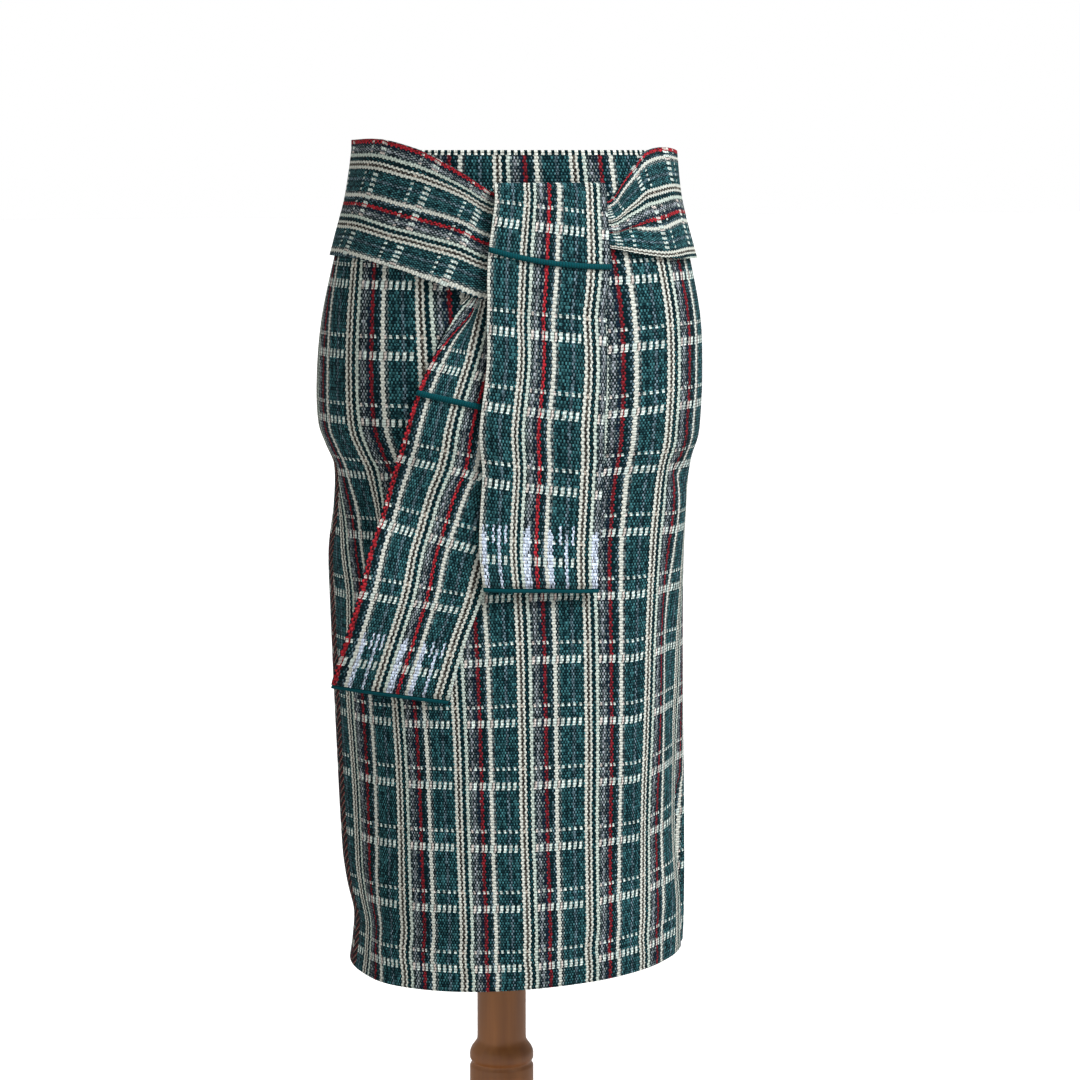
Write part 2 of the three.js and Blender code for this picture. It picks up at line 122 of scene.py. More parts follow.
def smoothStep(value, low, high):
    share = min(max((value - low) / (high - low), 0), 1)
    return share * share * (3 - 2 * share)


def smoothAt(table, key, column, place):
    last = len(table) - 1
    place = min(max(place, table[0][key]), table[last][key])
    i = 0
    while i < last - 1 and table[i + 1][key] < place:
        i += 1

    def slope(k):
        a, b = table[max(k - 1, 0)], table[min(k + 1, last)]
        return (b[column] - a[column]) / (b[key] - a[key])

    span = table[i + 1][key] - table[i][key]
    x = (place - table[i][key]) / span
    return (
        (2 * x**3 - 3 * x**2 + 1) * table[i][column]
        + (x**3 - 2 * x**2 + x) * span * slope(i)
        + (3 * x**2 - 2 * x**3) * table[i + 1][column]
        + (x**3 - x**2) * span * slope(i + 1)
    )


def straightAt(table, key, column, place):
    for low, high in zip(table, table[1:]):
        if place <= high[key] or high is table[-1]:
            share = (place - low[key]) / (high[key] - low[key])
            return mix(low[column], high[column], min(max(share, 0), 1))


# Several columns of a table at one place
def rowAt(table, key, columns, place, find=smoothAt):
    return {column: find(table, key, column, place) for column in columns}


sectionCache = {}


def sectionAt(drop):
    key = round(drop, 3)
    if key not in sectionCache:
        sectionCache[key] = [smoothAt(skirtSections, "drop", column, drop) for column in sectionColumns[1:]]
    return sectionCache[key]


def foldAt(angle, drop):
    total = 0
    for fold in folds:
        across = ((angle - fold["angle"] + 540) % 360 - 180) / fold["spread"]
        along = (drop - fold["drop"]) / fold["reach"]
        total += fold["depth"] * math.exp(-across * across - along * along)
    return total


def bell(value, middle, spread):
    return math.exp(-(((value - middle) / spread) ** 2))


# A point off the skirt's outer face, in millimetres: angle from the front towards the wearer's left
def skirtPoint(angle, drop, lift):
    a, b, forward, aside, _ = sectionAt(drop)
    sine, cosine = math.sin(math.radians(angle)), math.cos(math.radians(angle))
    power = 2 / skirt["roundness"]
    x = math.copysign(abs(sine) ** power, sine)
    y = -math.copysign(abs(cosine) ** power, cosine)
    outX = math.copysign(abs(sine) ** (2 - power), sine) / a
    outY = -math.copysign(abs(cosine) ** (2 - power), cosine) / b
    away = (lift + foldAt(angle, drop)) / math.hypot(outX, outY)
    return (aside + a * x + away * outX, -forward + b * y + away * outY, skirt["waistHeight"] - drop)


# Creases: soft troughs (depth under 0) or ridges along a line, in the piece's own
# millimetres across and down. softness is the half width, and the ends fade out.
def creaseAt(creases, across, down):
    total = 0
    for crease in creases:
        (x0, y0), (x1, y1) = crease["from"], crease["to"]
        dx, dy = x1 - x0, y1 - y0
        share = min(max(((across - x0) * dx + (down - y0) * dy) / (dx * dx + dy * dy), 0), 1)
        away = math.hypot(across - x0 - share * dx, down - y0 - share * dy) / crease["softness"]
        if away < 3:
            fade = math.sin(math.pi * min(max(share * 0.9 + 0.05, 0), 1)) ** 0.5
            total += crease["depth"] * fade * math.exp(-away * away)
    return total


# Materials
def linear(red, green, blue):
    def channel(value):
        value = value / 255
        return value / 12.92 if value <= 0.04045 else ((value + 0.055) / 1.055) ** 2.4

    return (channel(red), channel(green), channel(blue), 1)


class NodeSheet:
    def __init__(self, tree):
        self.tree = tree

    def node(self, kind, **settings):
        made = self.tree.nodes.new(kind)
        for key, value in settings.items():
            setattr(made, key, value)
        return made

    def put(self, socket, value):
        if isinstance(value, bpy.types.NodeSocket):
            self.tree.links.new(value, socket)
        else:
            socket.default_value = value

    def math(self, operation, *values):
        made = self.node("ShaderNodeMath", operation=operation)
        for socket, value in zip(made.inputs, values):
            self.put(socket, value)
        return made.outputs[0]

    def times(self, first, second):
        return self.math("MULTIPLY", first, second)

    def plus(self, first, second):
        return self.math("ADD", first, second)

    def minus(self, first, second):
        return self.math("SUBTRACT", first, second)

    def floor(self, value):
        return self.math("FLOOR", value)

    def blend(self, share, first, second):
        made = self.node("ShaderNodeMix", data_type="RGBA")
        self.put(made.inputs[0], share)
        self.put(made.inputs[6], first)
        self.put(made.inputs[7], second)
        return made.outputs[2]

    def between(self, value, low, high, toLow=0, toHigh=1):
        made = self.node("ShaderNodeMapRange", interpolation_type="SMOOTHSTEP")
        for socket, given in zip(made.inputs, (value, low, high, toLow, toHigh)):
            self.put(socket, given)
        return made.outputs[0]

    def inside(self, value, low, high):
        return self.math("COMPARE", value, (low + high) / 2, (high - low) / 2)

    def vector(self, x, y, z):
        made = self.node("ShaderNodeCombineXYZ")
        for socket, given in zip(made.inputs, (x, y, z)):
            self.put(socket, given)
        return made.outputs[0]

    def random(self, x, y, z=0.0):
        made = self.node("ShaderNodeTexWhiteNoise", noise_dimensions="3D")
        self.put(made.inputs["Vector"], self.vector(x, y, z))
        return made.outputs["Value"]

    def mapParts(self, name):
        made = self.node("ShaderNodeSeparateXYZ")
        self.put(made.inputs[0], self.node("ShaderNodeUVMap", uv_map=name).outputs[0])
        return made.outputs

    def stripes(self, place, chart, width):
        made = self.node("ShaderNodeValToRGB")
        ramp = made.color_ramp
        ramp.interpolation = "CONSTANT"
        for index, (start, colour) in enumerate(chart):
            if index < 2:
                element = ramp.elements[index]
                element.position = start / width
            else:
                element = ramp.elements.new(start / width)
            element.color = colour
        self.put(made.inputs[0], place)
        return made.outputs["Color"], made.outputs["Alpha"]


def makeGroup(name, inputs, outputs):
    tree = bpy.data.node_groups.new(name, "ShaderNodeTree")
    for label, value in inputs.items():
        kind = "NodeSocketColor" if isinstance(value, tuple) else "NodeSocketFloat"
        tree.interface.new_socket(label, in_out="INPUT", socket_type=kind).default_value = value
    for label in outputs:
        kind = "NodeSocketColor" if label == "Color" else "NodeSocketFloat"
        tree.interface.new_socket(label, in_out="OUTPUT", socket_type=kind)
    sheet = NodeSheet(tree)
    given = sheet.node("NodeGroupInput").outputs
    result = sheet.node("NodeGroupOutput").inputs
    return tree, sheet, given, result


yarn = {
    "darkTeal": linear(5, 34, 41),
    "teal": linear(60, 112, 118),
    "blueGrey": linear(108, 134, 146),
    "cream": linear(220, 224, 215),
    "paleCream": linear(206, 220, 210),
    "oldCream": linear(150, 152, 140),
    "black": linear(27, 27, 27),
    "brown": linear(116, 112, 104),
    "greyLight": linear(158, 166, 174),
    "greyMid": linear(131, 147, 147),
    "greyDark": linear(15, 33, 41),
    "navy": linear(17, 34, 50),
    "red": linear(184, 44, 54),
    "darkRed": linear(50, 24, 32),
    "seamRed": linear(128, 62, 58),
    "pinkWhite": linear(214, 204, 198),
    "tan": linear(186, 176, 164),
    "ice": linear(212, 226, 248),
    "white": linear(212, 226, 220),
}

# A stitch shows in every second course on each needle, so the two yarns of a stripe make a
# staggered speckle.
check = {
    "needles": 22.5, "courses": 22, "zigzag": 0.22, "waver": 0.14, "waverStep": 0.8, "chance": 0.42,
    "softness": 0.16, "shareFall": -0.72, "shareTop": 0.86, "redFrom": 8.36, "redTo": 9.58,
    "dashFrom": 0.25, "dashTo": 3.0, "dashMiddle": 1.6, "dashLean": 0.12, "beadSwing": 0.4,
    "dotFrom": 17.05, "dotTo": 18.15, "gapShade": 0.45, "gapWidth": 0.7,
    "paleReach": 17, "paleGap": 0.28, "paleSteps": 2.5, "paleStep": 1.4, "wholePale": 0.75,
    "fleckFrom": 14, "fleckTo": 19.5, "edgeCourses": 1.6, "edgeCream": 0.52,
}
# Third number of each random draw
draws = {"waver": 3.0, "pale": 11.0, "stitch": 7.0, "shade": 5.0}
# The "edges" map's number for a point that is nowhere near an edge
farOff = 1000


# A stripe's start in needles, its yarn and its share
def chartOf(*stripes):
    return [(start, yarn[name][:3] + (share,)) for start, name, share in stripes]


# Beads from one needle to another, and nothing between them
def beadChart(*beads):
    clear = (0, 0, 0, 0)
    chart = [(0, clear)]
    for start, end, name, *share in beads:
        if chart[-1][0] == start:
            chart.pop()
        chart += [(start, yarn[name][:3] + (share[0] if share else 1,)), (end, clear)]
    return chart


# Yarn on the face by needle, with the share of the stitches in which it shows
faceChart = chartOf(
    (0, "cream", 0.97), (0.52, "brown", 0.42), (1.36, "cream", 0.92), (2.1, "teal", 0.12),
    (3.5, "paleCream", 0.97), (4.55, "greyMid", 0.3), (5.65, "greyLight", 0.46), (6.6, "greyMid", 0.4),
    (7.2, "greyMid", 0.15), (8.42, "red", 0.56), (9.52, "teal", 0.1), (10.75, "blueGrey", 0.3),
    (11.75, "cream", 0.97), (12.95, "greyMid", 0.4), (13.9, "teal", 0.44), (15.0, "teal", 0.3),
    (16.15, "teal", 0.46), (17.0, "teal", 0.3), (17.8, "blueGrey", 0.46), (18.75, "teal", 0.3),
    (20.05, "teal", 0.46), (20.95, "teal", 0.3), (21.98, "cream", 0.97),
)
# Yarn between, with how much its stitches differ in brightness
backChart = chartOf(
    (0, "oldCream", 0.25), (0.52, "black", 0.7), (1.36, "oldCream", 0.25), (2.1, "darkTeal", 0.6),
    (3.42, "darkTeal", 0.3), (4.55, "greyDark", 1.0), (7.2, "navy", 0.8), (8.36, "darkRed", 0.7),
    (9.58, "darkTeal", 0.6), (11.75, "oldCream", 0.2), (12.95, "greyDark", 0.9), (13.9, "darkTeal", 0.9),
    (21.98, "oldCream", 0.25),
)
dashChart = beadChart(
    (4.75, 5.62, "pinkWhite"), (6.27, 7.38, "white"), (8.35, 9.08, "pinkWhite"), (9.5, 10.4, "white"),
    (11.4, 12.5, "white"), (12.5, 12.85, "brown"), (12.85, 13.5, "pinkWhite"), (14.15, 15.13, "white"),
    (16.12, 17.1, "white"), (18.08, 19.05, "white"), (20.02, 21.0, "white"),
)
dotChart = beadChart(
    (0.55, 1.36, "tan"), (5.0, 5.6, "pinkWhite"), (6.65, 7.4, "white"), (8.5, 9.1, "pinkWhite"),
    (9.7, 10.3, "white"), (12.9, 13.4, "pinkWhite"), (14.3, 15.1, "white"), (16.3, 17.1, "white"),
    (18.25, 19.0, "white"), (20.3, 21.05, "white"),
)
# Pale yarns that take over near the sash's ends, and the flecks where they start
paleChart = beadChart(
    (4.6, 7.0, "ice"), (12.9, 14.5, "ice"), (16.2, 16.8, "ice", 0.5), (18.1, 18.9, "ice"),
    (20.2, 20.9, "ice", 0.5),
)

# The line of slanting stitches beside the skirt's side seams: its two sides in millimetres from the
# seam, courses from stitch to stitch, and millimetres across for one stitch's slant
seam = {"from": 19.0, "to": 32.0, "courses": 2.7, "slope": 9.0}
seamChart = chartOf(
    (0, "darkRed", 1), (0.3, "seamRed", 1), (0.5, "brown", 1), (0.66, "black", 1),
)


# Staggered stitches: how far a point is into the stitch of the face yarn, a draw of its own for each
# stitch, and the height of the cloth
def stitchGroup():
    tree, sheet, given, result = makeGroup(
        "knitStitch", {"Needle": 0.0, "Course": 0.0}, ("Brick", "Draw", "Other", "Height")
    )
    needle, course = given["Needle"], given["Course"]
    acrossWave = sheet.math("COSINE", sheet.times(needle, 2 * math.pi))
    downWave = sheet.math("COSINE", sheet.times(course, math.pi))
    brick = sheet.math("MULTIPLY_ADD", sheet.times(acrossWave, downWave), 0.5, 0.5)
    column = sheet.floor(sheet.math("MULTIPLY_ADD", needle, 2.0, 0.5))
    row = sheet.floor(sheet.plus(course, 0.5))
    lobe = sheet.math("ABSOLUTE", downWave)
    sheet.put(result["Brick"], brick)
    sheet.put(result["Draw"], sheet.random(column, row, draws["stitch"]))
    sheet.put(result["Other"], sheet.random(column, row, draws["shade"]))
    height = sheet.math("MULTIPLY_ADD", brick, 0.4, sheet.times(lobe, 0.6))
    sheet.put(result["Height"], height)
    return tree


def placeGroup(sheet, tree, given):
    made = sheet.node("ShaderNodeGroup")
    made.node_tree = tree
    for label, value in given.items():
        sheet.put(made.inputs[label], value)
    return made.outputs


def checkGroup(stitchTree):
    tree, sheet, given, result = makeGroup(
        "knitCheck",
        {
            "Needle": 0.0, "Course": 0.0, "Face Gain": 1.0, "Deep Red": 0.0,
            "Above End": float(farOff), "Below Edge": float(farOff), "From Seam": float(farOff),
        },
        ("Color", "Height"),
    )
    needle, course = given["Needle"], given["Course"]
    width = check["needles"]
    row = sheet.floor(course)
    swing = sheet.minus(sheet.math("PINGPONG", course, 1.0), 0.5)
    swing = sheet.times(swing, 2 * check["zigzag"])
    waver = sheet.random(sheet.floor(sheet.times(needle, check["waverStep"])), row, draws["waver"])
    waver = sheet.times(sheet.minus(waver, 0.5), check["waver"])
    place = sheet.plus(sheet.plus(needle, swing), waver)
    place = sheet.math("FRACT", sheet.math("DIVIDE", place, width))
    inRepeat = sheet.math("FLOORED_MODULO", course, float(check["courses"]))
    # the dashes lean a little
    lean = sheet.times(sheet.minus(inRepeat, check["dashMiddle"]), check["dashLean"])
    lean = sheet.times(lean, sheet.math("LESS_THAN", inRepeat, check["dashTo"]))
    beadPlace = sheet.plus(sheet.plus(needle, lean), sheet.times(swing, check["beadSwing"]))
    beadPlace = sheet.math("FRACT", sheet.math("DIVIDE", beadPlace, width))
    stitch = placeGroup(sheet, stitchTree, {"Needle": needle, "Course": course})
    # face yarn where the stitch is far enough in, or by its own draw
    brick = sheet.times(stitch["Brick"], 1 - check["chance"])
    show = sheet.math("MULTIPLY_ADD", stitch["Draw"], check["chance"], brick)
    face, faceShare = sheet.stripes(place, faceChart, width)
    back, spread = sheet.stripes(place, backChart, width)
    # painted light: above 1, more of the lighter face yarn shows, so the sash reads as lit
    faceShare = sheet.times(faceShare, given["Face Gain"])
    threshold = sheet.math("MULTIPLY_ADD", faceShare, check["shareFall"], check["shareTop"])
    low = sheet.minus(threshold, check["softness"])
    share = sheet.between(show, low, sheet.plus(threshold, check["softness"]))
    # painted shade: on the skirt the red stripe is darkened towards dark red, the same red yarn as on the sash,
    # shaded
    inRed = sheet.inside(place, check["redFrom"] / width, check["redTo"] / width)
    face = sheet.blend(sheet.times(inRed, given["Deep Red"]), face, yarn["darkRed"])
    colour = sheet.blend(share, back, face)
    # dashed and dotted rows
    inDash = sheet.inside(inRepeat, check["dashFrom"], check["dashTo"])
    inDot = sheet.inside(inRepeat, check["dotFrom"], check["dotTo"])
    dash, dashShare = sheet.stripes(beadPlace, dashChart, width)
    dot, dotShare = sheet.stripes(beadPlace, dotChart, width)
    colour = sheet.blend(sheet.times(inDash, dashShare), colour, dash)
    colour = sheet.blend(sheet.times(inDot, dotShare), colour, dot)
    # pale yarns in steps above the sash's end
    step = sheet.random(sheet.floor(sheet.times(needle, check["paleStep"])), 0.0, draws["pale"])
    reach = sheet.math("MULTIPLY_ADD", step, check["paleSteps"], check["paleReach"])
    pale, paleShare = sheet.stripes(place, paleChart, width)
    nearEnd = sheet.math("LESS_THAN", given["Above End"], reach)
    whole = sheet.times(nearEnd, sheet.math("GREATER_THAN", paleShare, check["wholePale"]))
    inFleck = sheet.inside(given["Above End"], check["fleckFrom"], check["fleckTo"])
    fleck = sheet.times(inFleck, sheet.math("COMPARE", paleShare, 0.5, 0.2))
    speck = sheet.math("GREATER_THAN", show, check["paleGap"])
    paleMask = sheet.times(sheet.plus(whole, fleck), speck)
    colour = sheet.blend(paleMask, colour, pale)
    # edge stitches, cream and dark in turn
    turn = sheet.math("LESS_THAN", sheet.math("FRACT", sheet.times(needle, 0.5)), check["edgeCream"])
    edge = sheet.blend(turn, yarn["darkTeal"], yarn["cream"])
    colour = sheet.blend(sheet.math("LESS_THAN", given["Below Edge"], check["edgeCourses"]), colour, edge)
    # slanting stitches beside the side seam, dark red and tan over the dark yarn
    slant = sheet.math("DIVIDE", given["From Seam"], seam["slope"])
    slant = sheet.plus(sheet.math("DIVIDE", course, seam["courses"]), slant)
    inSeam = sheet.inside(given["From Seam"], seam["from"], seam["to"])
    ticks, ticksShare = sheet.stripes(sheet.math("FRACT", slant), seamChart, 1)
    colour = sheet.blend(sheet.times(inSeam, ticksShare), colour, ticks)
    # every stitch a little lighter or darker, and shade in the gaps between courses
    lobe = sheet.math("ABSOLUTE", sheet.math("COSINE", sheet.times(course, math.pi)))
    shade = sheet.between(lobe, 0.0, check["gapWidth"], check["gapShade"], 1.0)
    vary = sheet.times(sheet.minus(stitch["Other"], 0.5), spread)
    shade = sheet.times(shade, sheet.plus(vary, 1.0))
    shaded = sheet.node("ShaderNodeMix", data_type="RGBA", blend_type="MULTIPLY")
    shaded.inputs[0].default_value = 1
    sheet.put(shaded.inputs[6], colour)
    sheet.put(shaded.inputs[7], shade)
    sheet.put(result["Color"], shaded.outputs[2])
    sheet.put(result["Height"], stitch["Height"])
    return tree


def newMaterial(name):
    material = bpy.data.materials.new(name)
    material.use_nodes = True
    sheet = NodeSheet(material.node_tree)
    shader = material.node_tree.nodes["Principled BSDF"]
    return material, sheet, shader


def addRelief(sheet, shader, height, settings):
    bump = sheet.node("ShaderNodeBump")
    bump.inputs["Strength"].default_value = settings["bump"]
    bump.inputs["Distance"].default_value = settings["depth"]
    sheet.put(bump.inputs["Height"], height)
    sheet.put(shader.inputs["Normal"], bump.outputs[0])


def setCloth(shader, settings):
    shader.inputs["Roughness"].default_value = settings["roughness"]
    shader.inputs["Sheen Weight"].default_value = settings["sheen"]
    shader.inputs["Specular IOR Level"].default_value = settings["specular"]


def knitMaterial(name, settings):
    material, sheet, shader = newMaterial(name)
    knitParts, edgeParts = sheet.mapParts("knit"), sheet.mapParts("edges")
    cloth = placeGroup(sheet, checkTree, {
        "Needle": knitParts[0], "Course": knitParts[1],
        "Face Gain": settings["faceGain"], "Deep Red": settings["deepRed"],
        settings["edgeAcross"]: edgeParts[0], "Below Edge": edgeParts[1],
    })
    sheet.put(shader.inputs["Base Color"], cloth["Color"])
    addRelief(sheet, shader, cloth["Height"], settings)
    setCloth(shader, settings)
    shader.inputs["Sheen Roughness"].default_value = settings["sheenRoughness"]
    return material


stitchTree = stitchGroup()
checkTree = checkGroup(stitchTree)
# edgeAcross says what the first number of the "edges" map is: the distance from a side seam, in
# millimetres, or from the sash's end, in courses
# Painted shade on the skirt: its red stripe is darkened halfway towards dark red; none on the sash
skirtFinish = {
    "bump": 0.8, "depth": 0.0009, "roughness": 0.95, "sheen": 0.015, "specular": 0.06,
    "sheenRoughness": 0.5, "faceGain": 1.0, "deepRed": 0.5, "edgeAcross": "From Seam",
}
# Painted light on the sash: more of its lighter face yarn shows than on the skirt
sashFinish = {
    "bump": 0.8, "depth": 0.0009, "roughness": 0.95, "sheen": 0.02, "specular": 0.08,
    "sheenRoughness": 0.5, "faceGain": 1.12, "deepRed": 0.0, "edgeAcross": "Above End",
}
skirtKnit = knitMaterial("skirtKnit", skirtFinish)
sashKnit = knitMaterial("sashKnit", sashFinish)


def plainKnit(name, settings):
    material, sheet, shader = newMaterial(name)
    parts = sheet.mapParts("knit")
    stitch = placeGroup(sheet, stitchTree, {"Needle": parts[0], "Course": parts[1]})
    # painted shade: the colour goes darker where the stitches sit low, in the gaps between them
    shade = sheet.between(stitch["Height"], 0.0, 0.8, settings["gapShade"], 1.0)
    sheet.put(shader.inputs["Base Color"], sheet.blend(shade, settings["gapColour"], settings["colour"]))
    addRelief(sheet, shader, stitch["Height"], settings)
    setCloth(shader, settings)
    return material


# The rib's colour, and the painted shade in the gaps between its stitches
ribFinish = {
    "colour": linear(2, 74, 82), "gapColour": linear(2, 14, 16), "gapShade": 0.3,
    "bump": 0.5, "depth": 0.0005, "roughness": 0.9, "sheen": 0.02, "specular": 0.1,
}
tealRib = plainKnit("tealRib", ribFinish)
print("knit materials made")


# Making meshes
def makeMesh(name, points, faces, maps, material):
    mesh = bpy.data.meshes.new(name)
    mesh.from_pydata([tuple(value * millimetre for value in point) for point in points], [], faces)
    for mapName, values in maps.items():
        layer = mesh.uv_layers.new(name=mapName)
        layer.data.foreach_set("uv", [number for pair in values for number in pair])
    mesh.polygons.foreach_set("use_smooth", [True] * len(mesh.polygons))
    mesh.materials.append(material)
    mesh.update()
    piece = bpy.data.objects.new(name, mesh)
    bpy.context.collection.objects.link(piece)
    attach(piece, "root")
    return piece


# A wall between two grids of points, front facing out. knitAt and edgesAt give the two maps' numbers
# for a row and a column.
def wallPiece(name, outer, inner, knitAt, edgesAt, material):
    rows, columns = len(outer), len(outer[0])
    points = [point for line in outer for point in line] + [point for line in inner for point in line]
    faces, corners = [], []

    def add(*places):
        faces.append([side * rows * columns + i * columns + j for side, i, j in places])
        corners.extend((i, j) for _, i, j in places)

    for i in range(rows - 1):
        for j in range(columns - 1):
            add((0, i, j), (0, i + 1, j), (0, i + 1, j + 1), (0, i, j + 1))
            add((1, i, j), (1, i, j + 1), (1, i + 1, j + 1), (1, i + 1, j))
    for j in range(columns - 1):
        add((0, 0, j), (0, 0, j + 1), (1, 0, j + 1), (1, 0, j))
        add((0, rows - 1, j), (1, rows - 1, j), (1, rows - 1, j + 1), (0, rows - 1, j + 1))
    for i in range(rows - 1):
        add((0, i, 0), (1, i, 0), (1, i + 1, 0), (0, i + 1, 0))
        add((0, i, columns - 1), (0, i + 1, columns - 1), (1, i + 1, columns - 1), (1, i, columns - 1))
    maps = {"knit": [knitAt(i, j) for i, j in corners], "edges": [edgesAt(i, j) for i, j in corners]}
    return makeMesh(name, points, faces, maps, material)


def noEdges(i, j):
    return (farOff, farOff)


# Steps from 0 to 1, close together at both ends
def edgeSteps(count, size, edge):
    near = [step / size for step in edge]
    middle = [mix(near[-1], 1 - near[-1], k / count) for k in range(1, count)]
    return near + middle + [1 - step for step in reversed(near)]


# How far a wall's two faces stand apart near its edge, as a share
def edgeRound(fromEdge, radius, least):
    short = max(0, 1 - fromEdge / radius)
    return max(least, math.sqrt(max(0, 1 - short * short)))


# Skirt panels
panel = {
    "frontColumns": 170, "backColumns": 110, "rows": 190, "edgeSteps": (0, 0.3, 0.8, 1.6),
    "edgeRadius": 0.9, "leastEdge": 0.25, "courseHeight": 2.6, "creaseFrom": 258, "creaseFull": 285,
}
# Where stripes run, in millimetres from the front centre, by drop. The red ones are z and a to e, each
# with a needle of its own. Beside the turning sides the pale and cream ones next to them are there too.
stripeNeedles = {
    "zPale": -63.5, "z": -58.5, "zCream": -55.2, "a": -36, "b": -13.5, "c": 9,
    "d": 31.5, "dCream": 34.77, "ePale": 49, "e": 54, "eCream": 57.27, "fPale": 71.5,
}
stripeLines = tableOf(
    ("drop", *stripeNeedles),
    (0, -232.2, -218, -208.6, -154, -91, -27, 42, 52.9, 96.3, 111.6, 122.9, 164.7),
    (127, -247.3, -232, -221.9, -163, -94, -18, 59.4, 72.8, 126.7, 145.1, 159.3, 207.1),
    (191, -248.1, -233, -223, -164.8, -89.6, -13.6, 62.5, 76.3, 130.9, 149.2, 164, 211.1),
    (240, -246.6, -231, -220.8, -161, -88, -13, 61, 74.1, 128.6, 146.8, 160.9, 208.1),
    (275, -228, -214, -204.7, -151.4, -81.6, -12.3, 55.1, 67.2, 122.4, 144.2, 157.7, 198.6),
    (317, -200.5, -190.5, -183.5, -142.1, -74.8, -10.9, 55, 66.8, 118.5, 137.7, 149.2, 187.6),
    (358, -187, -176, -169.5, -135.2, -70.5, -9, 56.3, 68.5, 117, 132.1, 141.7, 178),
    (382, -183, -174.5, -168, -131.8, -68.9, -7.9, 57, 68.6, 114.5, 128.4, 135.9, 171.2),
    (428, -187, -175.5, -167.5, -126.4, -66.7, -6.9, 57.3, 68, 110, 121, 127.6, 161.4),
    (471, -192.5, -176.5, -167, -122.5, -66.1, -7.1, 56.8, 67, 107.2, 118.9, 124.1, 158.2),
    (514, -191.9, -174.9, -165, -120.5, -65.7, -7.5, 55.8, 65.6, 103.9, 115.8, 121, 155),
    (558, -190.4, -174.5, -164.5, -119.8, -65.8, -7.9, 54.1, 64.1, 100, 111.6, 118.5, 153),
    (603, -190.1, -175.8, -165.7, -119.8, -65.6, -8.2, 52, 61.5, 97.2, 107.2, 115.1, 152.4),
    (625, -190.1, -176.7, -167.6, -119.9, -65.9, -8.3, 50.8, 60.4, 96.3, 107.2, 114.9, 152),
    (647, -189.5, -178.2, -170, -121.5, -66.9, -10, 48.3, 57.2, 93.7, 106.7, 115.2, 151.3),
    (669, -189.2, -178.9, -171.7, -123.8, -69.1, -12.4, 45.4, 54.1, 90, 104.2, 113.5, 150.6),
    (690, -190.5, -180.2, -173, -126.5, -70.2, -13.9, 42.6, 51.5, 87.3, 99.8, 108.8, 148.6),
    (711, -189, -176.8, -168.8, -123, -67.3, -11.1, 45.6, 54.8, 90.5, 102.8, 109.4, 149.2),
    (727, -188.3, -175.6, -167.6, -121.6, -66.5, -10.2, 46.8, 56, 91.3, 104.3, 110.6, 149.9),
)
# Dashed rows down the skirt: courses by drop below the waist, on five lines across the front
rowColumns = ("drop", "farLeft", "left", "middle", "right", "farRight")
rowPlaces = tableOf(
    rowColumns,
    (-12, -44, -44, -44, -44, -44),
    (0, -40.4, -40.4, -40.4, -40.4, -40.4),
    (113, 1.2, 1.4, 1.8, 2.4, 2.8),
    (172, 22.8, 23, 23.6, 24.8, 25.5),
    (228, 44.2, 44.8, 45.8, 46.8, 47.4),
    (277, 66.4, 67.2, 67.8, 68, 67),
    (330, 89, 89.8, 90, 89.3, 87.7),
    (384, 111.4, 112.4, 112, 110.5, 110.6),
    (439, 133.4, 134.5, 134, 132.1, 133.3),
    (491.5, 155.4, 155.7, 155, 153.2, 155.3),
    (547, 178.3, 177.7, 177.4, 175.9, 179.1),
    (602, 200.5, 199.6, 199.3, 198.9, 201.6),
    (654.5, 221.9, 221.6, 221.6, 222.7, 224.6),
    (706, 243.4, 243.5, 244.1, 245.5, 247.2),
    (733, 254.6, 254.8, 255.4, 256.6, 258),
)
rowLines = (-97, -38, 20, 80, 135)

# Creases from one point to another, in millimetres across and down
creaseColumns = ("from", "to", "softness", "depth")
frontCreases = tableOf(
    creaseColumns,
    ((-175, 262), (-120, 300), 9, -3.0),
    ((-190, 300), (-135, 345), 10, -2.5),
    ((-165, 330), (-150, 480), 11, -2.5),
    ((120, 268), (175, 300), 9, -2.5),
    ((128, 330), (140, 520), 12, -2.2),
    ((60, 290), (20, 340), 10, -1.6),
    ((-60, 640), (-52, 715), 14, -1.6),
    ((30, 600), (40, 715), 16, 1.4),
    ((110, 640), (118, 715), 11, -2.0),
    ((167, 575), (170, 714), 8, -9.0),
)
backCreases = tableOf(
    creaseColumns,
    ((-60, 270), (0, 300), 9, -3.0),
    ((70, 272), (10, 312), 10, -3.0),
    ((-90, 330), (-60, 520), 12, -3.0),
    ((85, 340), (60, 560), 13, -2.8),
    ((0, 560), (10, 700), 15, 2.2),
)


def hemDipAt(angle, drop):
    return skirt["hemDip"] * math.cos(math.radians(angle - skirt["hemDipAngle"])) * (drop / skirt["length"]) ** 2


rowCache = {}


def frontCourse(across, drop):
    key = round(drop, 1)
    if key not in rowCache:
        rowCache[key] = [smoothAt(rowPlaces, "drop", column, key) for column in rowColumns[1:]]
    courses = rowCache[key]
    slot = 0
    while slot < len(rowLines) - 2 and across > rowLines[slot + 1]:
        slot += 1
    share = (across - rowLines[slot]) / (rowLines[slot + 1] - rowLines[slot])
    return mix(courses[slot], courses[slot + 1], min(max(share, 0), 1))


def backCourse(across, drop):
    return smoothAt(rowPlaces, "drop", "left", drop)


# Past the outer stripes: millimetres a needle at the start and the end, and how many needles
pastStripes = {"start": 2.6, "end": 2.5, "needles": 40}


# Needle of a point on the front panel, from the stripes on both sides of it
def frontNeedle(across, drop):
    table = [
        {"across": smoothAt(stripeLines, "drop", name, drop), "needle": needle}
        for name, needle in stripeNeedles.items()
    ]
    more = pastStripes["needles"]
    reach = more * (pastStripes["start"] if across < 0 else pastStripes["end"])
    table.insert(0, {"across": table[0]["across"] - reach, "needle": table[0]["needle"] - more})
    table.append({"across": table[-1]["across"] + reach, "needle": table[-1]["needle"] + more})
    return smoothAt(table, "across", "needle", across)


